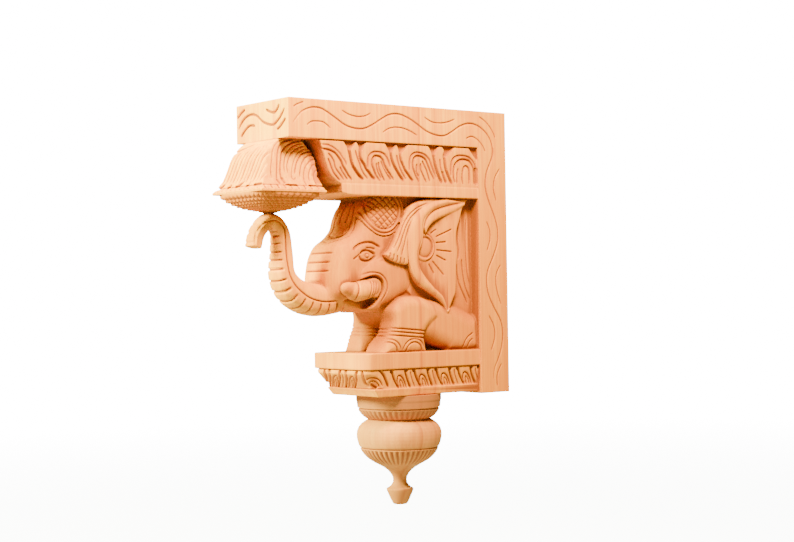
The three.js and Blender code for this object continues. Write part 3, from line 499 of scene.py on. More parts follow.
TRUNK = [
    (324.5, 5.4), (319.5, 21.9), (304.5, 35.0), (290.6, 24.1), (288.2, 0.6), figure(0.949, 0.5),
    figure(0.893, 0.394), figure(0.784, 0.345), figure(0.62, 0.385)]
TRUNK_THICK = [7.0, 7.5, 8.4, 8.6, 10.4, 12.6, 16.0, 18.4, 18.5]
TRUNK_WIDE = [10.6, 11, 11.6, 12, 13.5, 16, 19.5, 23.5, 28]
TRUNK_GROOVE = [
    (328, 7), (327, 17), (323, 25), (317, 31), (310, 34), (302, 35), (295, 31), (291, 26), (290, 18),
    (290, 8), (290, -4), (289, -14), (287, -25), (283, -34), (276, -42), (265, -50), (253, -54),
    (242, -55), (232, -54), (222, -50)]
CREASE_PITCH = 9.4


def trunk(grid):
    per = 6
    line = smooth(TRUNK, per=per)
    cuts, x, r, z = grid.window((200, 335), (-73, 47))
    R, Z = r[:, None], z[None, :]
    gap, place = to_line(line, R, Z)
    lower = np.clip(place.astype(int), 0, len(line) - 2)
    run = line[lower + 1] - line[lower]
    to_here = np.stack(np.broadcast_arrays(R, Z), -1) - line[lower]
    side = np.sign(run[..., 0] * to_here[..., 1] - run[..., 1] * to_here[..., 0])
    outer = gap * side
    marks = np.arange(len(TRUNK)) * per
    thick = np.interp(place, marks, TRUNK_THICK)
    wide = np.interp(place, marks, TRUNK_WIDE)
    lengths = np.r_[0, np.cumsum(np.hypot(*np.diff(line, axis=0).T))]
    run_mm = np.interp(place, np.arange(len(line)), lengths)

    # Creases across the front and underside
    crease = tent(2 * ((run_mm / CREASE_PITCH) % 1 - 0.5), 0.34)
    crease = crease * (1.5 - 0.5 * crease)
    start = np.interp(run_mm, [0, 70, 110, 150], [0.62, 0.62, 0.25, 0.1])
    weight = ramp(outer / thick, start, start + 0.25)
    weight = weight * ramp(run_mm, 48, 58) * (1 - ramp(run_mm, 190, 215))
    tip_weight = ramp(-outer / thick, 0.5, 0.8) * (1 - ramp(run_mm, 26, 36)) * 0.35
    X = x[:, None, None]
    power = 2.9
    around = ((X / wide[None]) ** power + (np.abs(outer) / thick)[None] ** power) ** (1 / power)
    solid = (around - 1) * np.minimum(thick, wide)[None] * 0.95
    solid += 1.9 * (crease * (weight + tip_weight))[None]
    groove = lines_of([(2.6, 1.6, TRUNK_GROOVE[6:]), (2.4, 0.7, TRUNK_GROOVE[:8])], per=3)
    solid += carve(groove, R, Z)[None] * ramp(X / wide[None], 0.35, 0.6)

    # Flat tip
    heading = line[1] - line[0]
    heading = heading / np.hypot(*heading)
    before = -((R - line[0, 0]) * heading[0] + (Z - line[0, 1]) * heading[1])
    before = np.where(place < 2 * per, before, -9.0)
    solid = soft_max(solid, before[None], 1.2)
    grid.add(cuts, solid.astype(np.float32), 3.0)


HEAD = [figure(*p) for p in (
    (0.56, 1.16), (0.566, 1.0), (0.598, 0.93), (0.621, 0.858), (0.634, 0.8), (0.671, 0.744),
    (0.723, 0.693), (0.755, 0.619), (0.769, 0.545), (0.776, 0.46), (0.765, 0.36), (0.7, 0.3),
    (0.64, 0.278), (0.575, 0.262), (0.51, 0.29), (0.43, 0.345), (0.345, 0.4), (0.25, 0.6), (0.24, 0.85),
    (0.25, 1.12), (0.4, 1.2))]
CHEEK = [figure(*p) for p in (
    (0.64, 0.47), (0.64, 0.37), (0.6, 0.275), (0.545, 0.268), (0.52, 0.306), (0.45, 0.343),
    (0.388, 0.397), (0.367, 0.468), (0.374, 0.57), (0.44, 0.64), (0.54, 0.6), (0.62, 0.54))]
HEAD_CUTS = [
    (2.6, 1.8, [(215, 2), (210.4, 5.8), (205, 8.8), (197.5, 10.6), (190.5, 10.4), (184.3, 8),
                (178.7, 5)]),
    (2.0, 1.2, [(199, 4.2), (192.4, 4.4), (185.8, 3)]),
    (2.6, 2.1, [(206.5, -2.3), (202.5, 1), (196, 1.6), (190.5, -0.4), (186, -3.2)]),
    (2.6, 2.0, [(207.3, -4), (206.5, -7.9), (201, -10), (194.9, -9.8), (189, -7), (185.6, -4)]),
    (2.0, 1.3, [(216, -8.4), (211.6, -5.8), (206.5, -2.3)])]
MOUTH_LINE = [(209.4, -28), (206, -25.8), (201.3, -24.2), (196.5, -23.1), (189.8, -23.2), (183.4, -24.6),
              (177.8, -28.3), (173.8, -33.9), (173, -39.6), (174.5, -45.2), (177.6, -50.8), (181.6, -56.3)]
EYE = (197.4, -4.2)
MEDALLION = (173.5, 46.5)
MEDALLION_EDGE = 28.6
MEDALLION_RINGS = (25.2, 20.6)

# Hair on the forehead, across and by level
HAIR = [
    (3.0, 2.8, [(10, 54), (14, 47), (15.8, 40), (16, 34), (15.4, 28), (15, 22.6), (13.2, 18.8),
                (6.5, 17), (0, 16.3)]),
    (3.0, 2.6, [(20, 58), (24.6, 49.5), (23.4, 44.2), (23.2, 39.7), (22.1, 34.1), (22.3, 28.4),
                (22.4, 23.9), (23.4, 19.5)]),
    (2.6, 2.6, [(4, 59), (6, 50), (6.4, 42), (5.4, 33)]),
    (2.4, 1.4, [(25.1, 18.1), (21, 16.6), (19.2, 14.9), (11.8, 12.9), (5.5, 11.4), (0, 10.8)])]


def arc(centre, along, up, start, end, steps=10):
    angles = np.radians(np.linspace(start, end, steps))
    return np.stack([centre[0] + along * np.cos(angles), centre[1] + up * np.sin(angles)], -1)


def head_shape(x, R, Z):
    """Field of the plain head: broad in front, with rounded corners."""
    edge = to_outline(smooth(HEAD, True), R, Z)
    height = HEAD_FACE - 2.0 * ramp(R, 205, 245) - rounded(-edge, 21, 21)
    return soft_max(off_face(x, height), edge[None])


def head(grid):
    cuts, x, r, z = grid.window((100, 252), (-72, 90))
    R, Z = r[:, None], z[None, :]
    lines = carve(lines_of(HEAD_CUTS, 1.45, 1.9), R, Z)
    hair = carve(lines_of(HAIR), x[:, None], Z)[:, None, :] * ramp(r, 180, 188)[None, :, None]
    grid.add(cuts, head_shape(x, R, Z) + 0.8 * lines[None] + 0.8 * hair, 2.0)
    # Wrinkles over the brow
    cuts, x, r, z = grid.window((222, 250), (-26, 6))
    X, R, Z = spread(x, r, z)
    wide = (1 - ramp(X, 17, 25)) * ramp(R, 222, 229)
    for level in (-0.5, -11, -21):
        grid.values[cuts] += 2.2 * tent(Z - level - 0.06 * (R - 240), 1.6) * wide
    relief(grid, smooth(CHEEK, True), CHEEK_FACE, 17, 7, lines_of([(2.4, 1.7, MOUTH_LINE)]), blend=4.0)
    # Eyeball between the lids, with its iris
    cuts, x, r, z = grid.window((EYE[0] - 8, EYE[0] + 8), (EYE[1] - 8, EYE[1] + 8), (30, 45))
    X, R, Z = spread(x, r, z)
    ball = np.sqrt((X - 34.4) ** 2 + ((R - EYE[0]) / 1.25) ** 2 + (Z - EYE[1]) ** 2) - 4.0
    grid.add(cuts, ball, 0.6)
    iris = np.hypot((R - EYE[0]) / 1.1, Z - EYE[1])
    grid.values[cuts] += 1.3 * tent(iris - 2.4, 1.1)


def medallion(grid, far):
    """A latticed roundel laid on the temple, wrapping a little round to the forehead."""
    shift = -STRIDE if far else 0.0
    cuts, x, r, z = grid.window((132, 210), (14, 66), (-60, -22) if far else (22, 60))
    R, Z = r[:, None], z[None, :]
    ahead = R - MEDALLION[0] - shift
    out = np.hypot(ahead, Z - MEDALLION[1])
    lean = (ahead * 0.72 - (Z - MEDALLION[1]) * 0.69) / 5.4
    cross = (ahead * 0.62 + (Z - MEDALLION[1]) * 0.78) / 7.0
    dents = np.maximum(np.clip(1 - np.abs((lean % 1) - 0.5) * 4.2, 0, 1),
                       0.75 * np.clip(1 - np.abs((cross % 1) - 0.5) * 5.8, 0, 1))
    cut = 2.5 * sum(tent(out - ring, 1.7) for ring in MEDALLION_RINGS)
    cut = np.maximum(cut, 2.6 * dents * (out < 19.8)) + 1.2 * ramp(out, 27.2, MEDALLION_EDGE)
    height = 39.4 - 0.08 * ahead + 0 * Z
    solid = np.maximum(off_face(x, height), head_shape(x, R, Z) - 1.7)
    grid.add(cuts, soft_max(solid, (out - MEDALLION_EDGE)[None]).astype(np.float32))
    flush = np.abs(x)[:, None, None] < height[None] + 1.5
    grid.values[cuts] += np.where(flush & (out < MEDALLION_EDGE)[None], 0.9 * cut[None], 0)


def chain(grid, points, radii, blend, rings=()):
    """A round form along a line in space."""
    p = np.asarray(points, np.float32)
    low, high = p.min(0) - max(radii) - 4, p.max(0) + max(radii) + 4
    cuts, x, r, z = grid.window((low[1], high[1]), (low[2], high[2]), (low[0], high[0]))
    at = spread(x, r, z)
    best = None
    for i in range(len(p) - 1):
        run = p[i + 1] - p[i]
        t = sum((at[k] - p[i, k]) * run[k] for k in range(3)) / float(run @ run)
        t = np.clip(t, 0, 1)
        gap = np.sqrt(sum((at[k] - p[i, k] - t * run[k]) ** 2 for k in range(3)))
        gap = gap - (radii[i] + (radii[i + 1] - radii[i]) * t)
        best = gap if best is None else np.minimum(best, gap)
    slant = at[1] + 0.22 * (at[2] + 42) + 0.5 * (40 - at[0]) * 0.3
    for place in rings:
        best = best + 2.0 * tent(slant - place, 1.5)
    grid.add(cuts, best, blend)


def mouth(grid):
    # Pocket of the mouth, with the lower lip left standing under it
    pocket = [(226, -55), (214, -50), (198, -50), (187, -52), (190, -59), (200, -63.5), (212, -64),
              (222, -61)]
    relief(grid, smooth(pocket, True), 60, 2, 2, inner=27, take=True, blend=1.5)
    # Channel round the root of the tusk
    channel = [(230, -31.6), (222, -33), (213, -33.2), (207, -31.8), (200, -29.8), (194, -28.2),
               (187.5, -28.2), (183, -30.4), (180.6, -34), (179.8, -38.4), (180.4, -43), (182.9, -48.4),
               (186.6, -52.9), (192, -56), (199, -58)]
    cuts, x, r, z = grid.window((170, 232), (-62, -20), (28, 60))
    depth = carve([(smooth(channel), 4.6, 6.5)], r[:, None], z[None, :])
    solid = x[:, None, None] - (42.0 - depth)[None]
    here = grid.values[cuts]
    grid.values[cuts] = np.where((depth > 0.05)[None], np.maximum(here, solid / 1.6), here)
    # The tusk with its rings, and the knob on its end
    chain(grid, [(35, 192, -40.5), (38, 203, -42.5), (39.5, 215, -44.5), (40, 219, -44.4)],
          [10.2, 11.2, 11.0, 9.8], 0.6, rings=(190.5, 194.7, 198.9, 217.0))
    chain(grid, [(39.3, 222, -42.6), (39.6, 226, -41.6), (40, 229.4, -40.8)], [8.6, 8.0, 6.6], 0.3)


LOCK = [
    (122, 60), (136, 55.7), (145, 48.7), (151, 39.5), (155.6, 30.3), (160, 22.4), (163, 15.5),
    (167.5, 7.6), (172, 1.5), (177, -2.5), (176, -5.5), (170, -9.5), (162, -12.4), (154, -14), (147, -14),
    (145.5, -6), (145.5, 15), (143, 26), (138, 36), (128, 46), (112, 53), (100, 57), (104, 62)]
EAR = [
    (58, 62), (90, 63), (112, 58), (128, 50), (139, 40), (146, 27), (148.5, 12), (148, -4), (145, -15),
    (141, -26), (132, -37), (118, -45), (105, -53), (96, -61), (90, -71), (85, -64), (80, -54),
    (76.4, -46.5), (75.2, -33), (74.3, -13.6), (72.5, -1.7), (74.3, 12.8), (73, 26), (69.4, 35.3),
    (64, 51), (59, 58)]
RIM_LINE = [
    (62, 58), (81, 54.7), (99.9, 50.4), (111.8, 45), (120, 37), (123, 28), (124.3, 18.8), (126, 9.7),
    (130, 0.7), (131.6, -9.7), (128.6, -20), (120, -30.4), (108.6, -41), (97, -50.2), (91.5, -60.7),
    (90.5, -67)]
FLOWER = (119.5, 5.4)
RAYS = [((109.9, 21), (102.2, 26.3)), ((103.2, 17.2), (80.9, 26.6)), ((103.3, 10.6), (89, 11.8)),
        ((102.7, 2.4), (81.4, 0.3)), ((102.8, -3.7), (89.5, -10)), ((108, -10.2), (92.6, -27)),
        ((113.1, -13.5), (106, -25))]


def dish(R, Z):
    """Face of the ear, with the flower's heart and its rim."""
    base = EAR_FACE + 4.6 * ramp(122 - R, 4, 46) + 0 * Z
    out = np.hypot((R - FLOWER[0]) / 0.94, Z - FLOWER[1])
    base = base + 2.0 * np.sqrt(np.clip(1 - (out / 10.5) ** 2, 0, 1))
    return base + 1.7 * tent(out - 13.9, 2.4) ** 0.5


def ear(grid):
    lines = [(ray, 2.3, 1.9) for ray in RAYS]
    lines.append((arc(FLOWER, 14.6, 15.8, 100, 262, 26), 2.2, 1.7))
    lines.append((arc(FLOWER, 11.4, 12.2, 100, 262, 26), 2.0, 1.6))
    relief(grid, smooth(EAR, True), dish, 3, 1.6, lines)
    # Rolled rim, with a line inside it, and the fold at its top
    band = np.vstack([smooth(EAR[1:16]), smooth(RIM_LINE)[::-1]])
    inner = [(RIM_LINE[k][0] + 3.4, RIM_LINE[k][1] + (0.5 if k > 8 else 1.6)) for k in range(3, 15)]
    relief(grid, band, 50.4, 9, 4.6, [(smooth(inner), 1.8, 0.9)])
    fold = np.vstack([smooth([(60, 58.5), (81, 55), (100, 50.6), (112, 45.4), (121, 37), (124, 28)]),
                      smooth([(119.6, 20.2), (116.6, 26.7), (109.6, 33.3), (99.3, 38.7), (87.3, 42.8),
                              (75.2, 47), (61, 54)])])
    relief(grid, fold, 48.8, 5, 3.2, blend=1.0)
    # Lock of hair in front of the ear
    fringe = [(((172, -1), (173.4, -8)), 2.2, 2.0), (((167.4, -2), (168, -10)), 2.2, 2.0),
              (((162.6, -4), (162.6, -12)), 2.2, 2.0), (((158, -6), (157.6, -13.5)), 2.2, 1.8),
              (((153, -7), (152.4, -14)), 2.0, 1.6)]
    strands = [[(168, 3), (162.5, 11), (157, 22), (151.5, 33), (144, 42.5), (133, 50), (118, 56)],
               [(163, 0), (158, 9), (153.5, 20), (148, 31), (140, 41), (128, 49), (112, 54.5)],
               [(157, -4), (153, 7), (149.5, 18), (145, 29), (137, 39.5)]]
    relief(grid, smooth(LOCK, True, 4), 48.2, 6, 3.0, fringe + [(smooth(p), 2.2, 1.6) for p in strands])


def body(grid):
    folds = lines_of([
        (3.0, 2.4, [(68.5, -14), (67.2, -24), (64.5, -36), (60, -45), (51.6, -60)]),
        (3.0, 2.2, [(59.8, -8), (59, -20), (56.6, -33), (53, -43), (46, -56)]),
        (3.4, 1.8, [(61.8, 38), (65, 26), (65.8, 14), (64.2, 2), (65.4, -8)]),
        (3.0, 1.3, [(51, 40), (53, 16), (52, -10), (50, -26), (46, -38)])])
    flank = [(POST - 3, SLAB_TOP - 2), (POST - 3, RAIL_LOW + 2), (142, RAIL_LOW + 2), (142, SLAB_TOP + 70),
             (118, SLAB_TOP + 42), (100, SLAB_TOP + 36), (60, SLAB_TOP - 2)]
    relief(grid, flank, lambda R, Z: 38.6 - 1.6 * ramp(60 - R, 0, 14) + 0 * Z, 1, 1, folds)
    haunch = [(38, -78), (52, -71), (66, -65), (82, -58), (100, -53), (118, -53), (128, -62), (129, -80),
              (124, -96), (106, -106), (90, -113), (84, -117), (38, -117)]
    tail = lines_of([(2.2, 1.6, [(66, -111), (63, -103), (58, -98), (51, -94)]),
                     (2.2, 1.4, [(59, -111), (57, -105), (52, -101)])])
    relief(grid, smooth(haunch, True, 4), HAUNCH_FACE, 19, 14, tail, blend=2.0)
    # Breast behind the forelegs, and the throat down to it
    throat = [(150, -24), (172, -42), (172, -58), (164, -76), (146, -88), (122, -84), (106, -66),
              (112, -44), (128, -24)]
    relief(grid, smooth(throat, True), 36, 14, 12, blend=3.0)


LEG = [figure(*p) for p in (
    (0.44, 0.352), (0.38, 0.362), (0.31, 0.352), (0.245, 0.3), (0.222, 0.215), (0.283, 0.15),
    (0.303, 0.095), (0.298, 0.03), (0.3, -0.02), (0.42, -0.02), (0.548, -0.02), (0.54, 0.05),
    (0.51, 0.12), (0.492, 0.2), (0.492, 0.28))]
ANKLETS = (-84.5, -88.4, -92.6)


def leg(grid, far):
    shift = -STRIDE if far else 0.0
    lines = [([(186, level - 0.2), (160, level - 2.2), (114, level - 6.5)], 2.4, 2.2) for level in ANKLETS]
    for toe, high in ((176.5, 15.5), (141.3, 14.8)):
        lines.append((arc((toe, SLAB_TOP), 16.5, high, 12, 168, 16), 2.4, 1.8))
        lines.append((arc((toe, SLAB_TOP), 16.5 - 5.2, high - 3.6, 0, 180, 14), 2.4, 2.0))
    lines = [(np.asarray(p) + (shift, 0), w, d) for p, w, d in lines]
    outline = smooth(LEG, True) + (shift, 0)
    if far:
        outline[:, 0] += 4.5 * ramp(outline[:, 1], -110, -92) * (outline[:, 0] > 150)
    cuts, x, r, z = grid.window((80, 195), (-118, -42), (-60, 0) if far else (0, 60))
    R, Z = r[:, None], z[None, :]
    edge = to_outline(outline, R, Z)
    out = off_face(x, LEG_FACE - rounded(-edge, 13, 12) - carve(lines, R, Z))
    ring = np.zeros_like(edge)
    for level in ANKLETS:
        ring += tent(Z - level + 2.1 - 0.1 * (R - shift - 180), 1.5)
    inner = 9.0 + (0.45 + 0.55 * ramp(Z, -108, -90)) * rounded(-edge, 24, 20) + 1.6 * ring
    solid = soft_max(out, inner[None] - np.abs(x)[:, None, None], 3.0)
    solid = soft_max(solid, (edge + 1.5 * ring)[None], 2.5)
    grid.add(cuts, solid.astype(np.float32), 1.0)


# Platform

def platform(grid):
    cuts, x, r, z = grid.window((POST - 4, PLATFORM + 3), (SLAB_LOW - 3, SLAB_TOP + 3))
    X, R, Z = spread(x, r, z)
    corner = 13.0
    u, v = np.abs(X) - (50.0 - corner), R - (PLATFORM - corner)
    plan = np.hypot(np.maximum(u, 0), np.maximum(v, 0)) + np.minimum(np.maximum(u, v), 0) - corner
    plan = np.where(X > 0, plan, np.maximum(np.abs(X) - 51.0, R - PLATFORM))
    plan = np.maximum(plan, POST - 3 - R)
    grid.add(cuts, soft_max(plan, outside(Z, SLAB_LOW, SLAB_TOP), 1.4))


# Cuts of one petal and the narrow leaf beside it, in the distance along the band and the share
# of its height
BAND_PETAL = [
    (4.0, 3.6, [(-1.2, -0.05), (0, 0.2), (0.6, 0.5), (1.4, 0.75), (2.0, 1.0)]),
    (4.0, 3.6, [(17.6, -0.05), (19.0, 0.2), (19.2, 0.5), (19.0, 0.75), (18.6, 1.0)]),
    (4.6, 3.2, [(-3.0, -0.1), (-1.5, 0.2)]),
    (4.6, 3.2, [(21.4, -0.1), (19.6, 0.2)]),
    (2.9, 2.3, [(1.6, 0.98), (3.6, 0.7), (6.0, 0.46), (9.6, 0.34), (13.0, 0.44), (14.0, 0.7),
                (13.0, 0.98)]),
    (2.4, 1.8, [(5.4, 0.98), (6.8, 0.75), (9.0, 0.56), (10.8, 0.72), (10.2, 0.98)]),
    (2.2, 1.5, [(25.8, 0.15), (25.8, 0.5), (25.4, 0.95)])]


def leaf_cuts(edges, lean):
    """Cuts of the band's petals and the narrow leaves between them, which lean as they go down."""

    def path(edge, points):
        height = SLAB_LOW - BAND_LOW
        return smooth([(edge - along - lean * max(share - 0.3, 0) / 0.7, SLAB_LOW - share * height)
                       for along, share in points], per=4)

    return [(path(edge, points), width, depth) for edge in edges for width, depth, points in BAND_PETAL]


# The leaf on the near corner, in the distance round it and level
CORNER_LEAF = [
    (4.6, 3.6, [(18.6, -131), (17.6, -133.2), (15.8, -137.2), (14.2, -141.9), (11.8, -146.7),
                (4.4, -151)]),
    (2.8, 2.0, [(12.2, -146.7), (10.4, -143.6), (7.3, -141.2), (3.4, -140.1), (-2.7, -141.5),
                (-7.8, -144.5), (-11.9, -150.3)]),
    (2.4, 1.8, [(5.4, -147.1), (3.7, -144.3), (-0.5, -144.2), (-5.8, -147.9), (-7.1, -151.3)]),
    (3.6, 3.2, [(3.6, -147.1), (-1.3, -150.1), (-5.2, -152)]),
    (4.2, 3.4, [(-5.0, -131.5), (-6.1, -132.6), (-11.3, -137.3), (-15.6, -143.7), (-20.2, -152)])]
BAND_BEND = 12.0
BAND_TURN = 196.4
RULER_START = -160.0
RULER_STEP = 0.4


def band_cuts(z, turn):
    """Depth of the cuts along the band, on a ruler that runs along its side and round its front."""
    lines = [(p - (BAND_TURN, 0), w, d) for p, w, d in leaf_cuts([172.3 - 32.3 * k for k in range(5)], 9.2)]
    lines += lines_of(CORNER_LEAF)
    for points, width, depth in leaf_cuts([26.5, -5.2], 19.0) + leaf_cuts([-34.5], 10.0)[:1]:
        level = points[:, 1]
        shift = np.interp(-level, -z[::-1], turn[::-1])
        along = shift - BAND_TURN + BAND_BEND * math.pi / 2 - points[:, 0]
        lines.append((np.stack([along, level], -1), width, depth))
    ruler = np.arange(RULER_START, 130.0, RULER_STEP)
    cut = carve(lines, ruler[:, None], z[None, :])
    cut = np.maximum(cut, 1.8 * tent(z - SLAB_LOW + 0.3, 1.2)[None])
    du, dv = np.gradient(cut, RULER_STEP, axis=0), np.gradient(cut, STEP, axis=1)
    return cut, np.sqrt(1 + np.minimum(du ** 2 + dv ** 2, 9))


def leaf_band(grid):
    """Band of leaves under the slab, and the foot rail."""
    high, low = SLAB_LOW, BAND_LOW
    cuts, x, r, z = grid.window((POST - 4, PLATFORM + 2), (low - 3, high + 3), (-54, 54))
    X, R, Z = spread(x, r, z)
    share = np.clip((high - z) / (high - low), -0.1, 1.1)
    side_face = 48.6 - 4.0 * share
    front_face = 208.4 - 14.0 * np.clip((share - 0.22) / 0.78, 0, 1) ** 0.9
    turn_x, turn_r = side_face - BAND_BEND, front_face - BAND_BEND

    # Distance along the side, round the corner and across the front
    angle = np.arctan2(np.maximum(R - turn_r, 0), np.maximum(X - turn_x, 1e-4))
    on_side = R - BAND_TURN + 0 * X + 0 * Z
    past = turn_r - BAND_TURN + BAND_BEND * angle + np.maximum(turn_x - X, 0)
    flank, fore = np.abs(X) - side_face, R - front_face
    along = np.where((R < turn_r) | ((X < 0) & (flank > fore)), on_side, past)

    cut, slope = band_cuts(z, turn_r + turn_x)
    place = np.clip(((along - RULER_START) / RULER_STEP).round().astype(int), 0, len(cut) - 1)
    rows = np.broadcast_to(np.arange(len(z)), place.shape)
    solid = round_corner(flank, fore, np.where(X > 0, BAND_BEND, 2.0))
    solid = (solid + cut[place, rows]) / slope[place, rows]
    solid = np.maximum(solid, np.maximum(Z - high - 1, low - 1 - Z))
    grid.add(cuts, np.maximum(solid, POST - 3 - R).astype(np.float32))

    cuts, x, r, z = grid.window((POST - 4, PLATFORM + 2), (FOOT_LOW - 3, low + 3), (-54, 54))
    X, R, Z = spread(np.abs(x), r, z)
    down = np.clip((low - Z) / (low - FOOT_LOW), 0, 1)
    solid = soft_max(X - (46.0 - 1.5 * down), (R - (196.5 - 7.0 * down)) * 0.85, 1.2)
    solid = soft_max(solid, outside(Z, FOOT_LOW, low), 1.0)
    grid.add(cuts, np.maximum(solid, POST - 3 - R))


def carved_field():
    """The whole block: what both sides share is carved in one half, and the rest in the whole."""
    across = (np.arange(int(54.4 / STEP)) + 0.5) * STEP
    reach = np.arange(-2.4, 349.8, STEP)
    level = np.arange(-168.4, 168.6, STEP)
    half = Grid(across, reach, level)
    for form in (plank, frieze, rail, body, head, trunk, mouth, ear):
        form(half)
    mirrored = np.concatenate([half.values[::-1], half.values])
    whole = Grid(np.r_[-across[::-1], across], reach, level, mirrored)
    for form in (medallion, leg):
        form(whole, False)
        form(whole, True)
    for form in (platform, leaf_band, bell, nose_of_beam):
        form(whole)
    return whole


# Meshing

def box_blur(values, size):
    """Mean over a cube of samples, with nothing outside the box."""
    n = max(int(round(size / STEP)) | 1, 3)
    for axis in range(3):
        pad = [(0, 0)] * 3
        pad[axis] = (n // 2 + 1, n // 2)
        total = np.cumsum(np.pad(values, pad), axis=axis, dtype=np.float32)
        high, low = [slice(None)] * 3, [slice(None)] * 3
        high[axis], low[axis] = slice(n, None), slice(0, -n)
        values = (total[tuple(high)] - total[tuple(low)]) / n
    return values


def sample(values, grid, points):
    """Values of a box of samples at points (across, reach, level)."""
    at = [np.clip((points[:, k] - grid.axes[k][0]) / STEP, 0, len(grid.axes[k]) - 1.001) for k in range(3)]
    base = [a.astype(int) for a in at]
    part = [a - b for a, b in zip(at, base)]
    found = np.zeros(len(points), np.float32)
    for corner in range(8):
        bits = [(corner >> k) & 1 for k in range(3)]
        weight = 1.0
        for k in range(3):
            weight = weight * (part[k] if bits[k] else 1 - part[k])
        found += weight * values[base[0] + bits[0], base[1] + bits[1], base[2] + bits[2]]
    return found


def new_object(name, data):
    piece = bpy.data.objects.new(name, data)
    bpy.context.scene.collection.objects.link(piece)
    return piece


def new_mesh(name, verts, faces):
    mesh = bpy.data.meshes.new(name)
    mesh.from_pydata(verts, [], faces)
    mesh.update()
    return mesh


def add_mark(mesh, name, values):
    """A number at each vertex, which the material reads."""
    mark = mesh.attributes.new(name, "FLOAT", "POINT")
    mark.data.foreach_set("value", values.astype(np.float32))


def thinned(grid):
    """Mesh of the field's surface, thinned to the number of faces wanted."""
    values = np.clip(grid.values, -3 * STEP, 3 * STEP)
    vdb = openvdb.FloatGrid(background=3 * STEP)
    vdb.copyFromArray(np.ascontiguousarray(values))
    points, tris, quads = vdb.convertToPolygons(isovalue=0.0, adaptivity=0.0)
    points = points * STEP + np.array([a[0] for a in grid.axes])
    faces = quads[:, ::-1].tolist() + tris[:, ::-1].tolist()
    piece = new_object("carved_body", new_mesh("carved_body", (points * (MM, -MM, MM)).tolist(), faces))
    thin = piece.modifiers.new("thin", "DECIMATE")
    thin.ratio = FACES / (2 * len(quads) + len(tris))
    bpy.context.view_layer.update()
    ready = bpy.data.meshes.new_from_object(piece.evaluated_get(bpy.context.evaluated_depsgraph_get()))
    piece.modifiers.clear()
    piece.data = ready
    ready.name = "carved_body"
    return piece


def face_weighted_normals(mesh, co):
    """Normals weighted by area, and the longest edge of the triangles at each vertex."""
    mesh.calc_loop_triangles()
    tris = np.empty(len(mesh.loop_triangles) * 3, np.int32)
    mesh.loop_triangles.foreach_get("vertices", tris)
    tris = tris.reshape(-1, 3)
    a, b, c = co[tris[:, 0]], co[tris[:, 1]], co[tris[:, 2]]
    n = np.cross(b - a, c - a)
    edge = np.sqrt(np.max([((b - a) ** 2).sum(1), ((c - b) ** 2).sum(1), ((a - c) ** 2).sum(1)], axis=0))
    total, longest = np.zeros_like(co), np.zeros(len(co))
    for k in range(3):
        np.add.at(total, tris[:, k], n)
        np.maximum.at(longest, tris[:, k], edge)
    return total / np.maximum(np.linalg.norm(total, axis=1, keepdims=True), 1e-12), longest


FLAT_DEPTH = 0.385
LONG_EDGE = 9 * MM


def mark_hollows(mesh, grid, where, out, longest):
    """How deep each vertex lies in a narrow cut and in a wide hollow: the depth of their painted shade."""
    filled = np.clip(0.5 - grid.values / STEP, 0, 1)
    capital = (where[:, 1] > 276) & (where[:, 2] > 71.5) & (where[:, 2] < BEAM_LOW)
    # Long triangles would spread the painted shade of a cut's corner over a flat side
    flat = (longest > LONG_EDGE) & (np.abs(where[:, 0]) > 49.6)
    for name, size, push in (("recess", 4.0, 0.5), ("hollow", 13.0, 1.5)):
        depth = sample(box_blur(filled, size), grid, where + out * push)
        # Weaker painted shade in the capital's cuts and hollows
        depth = np.where(capital, 0.38 + 0.8 * (depth - 0.38), depth)
        add_mark(mesh, name, np.where(flat, np.minimum(depth, FLAT_DEPTH), depth))


def mark_painted_shade(mesh, where, out):
    """Painted shade by place, apart from the cuts: figure, frieze, slab, post, band, and under the capital.
    """
    across, reach, level = np.abs(where[:, 0]), where[:, 1], where[:, 2]
    figure_part = (1 - ramp(reach, 200, 262)) * ramp(64.0 - level, 0, 3) * ramp(level - SLAB_TOP, -1, 3)
    frieze_part = (reach > POST) * (reach < 272) * (level > FRIEZE_LOW) * (level < BEAM_LOW) * (across < 51.0)
    # Painted shade on the frieze's deep floors and its upward-facing shoulders
    shoulders = 1.3 * ramp(49.7 - across, 0, 2.2) + 1.2 * ramp(out[:, 2], 0.2, 0.6)
    nose_part = (level > 60) * (level < BEAM_LOW) * (reach < 275)
    slab_part = (reach > POST) * (level < SLAB_TOP + 0.5) * (level > SLAB_LOW - 0.5)
    # Painted shade on the figure: deeper below the plank's face, low down, and under the rail
    painted_shade = figure_part * (ramp(50.5 - across, 0, 9) + 0.35 * ramp(-38 - level, 0, 25)
                            + 0.4 * ramp(level, 40, 60))
    # Painted shade under the capital, on the band's lower front, the frieze and its nose, the post and the
    # slab
    for shade in (
            1.3 * ramp(DOME_TOP - level, -1, 4) * (reach > BELL - 46) * (level > 40),
            1.1 * ramp(-137 - level, 0, 4) * ramp(level + 157, 0, 3) * (reach > 192),
            1.5 * ramp(out[:, 1], 0.3, 0.8) * nose_part,
            0.35 * (reach < POST - 0.5) * (across > 51.0),
            0.40 * slab_part,
            (0.35 + shoulders) * frieze_part):
        painted_shade = np.maximum(painted_shade, shade)
    # Painted shade round the tusk's end
    tusk_end = np.exp(-((reach - 229) / 7) ** 2 - ((level + 44) / 8) ** 2)
    add_mark(mesh, "painted_shade", painted_shade + 1.8 * tusk_end * ramp(52 - across, 0, 7))


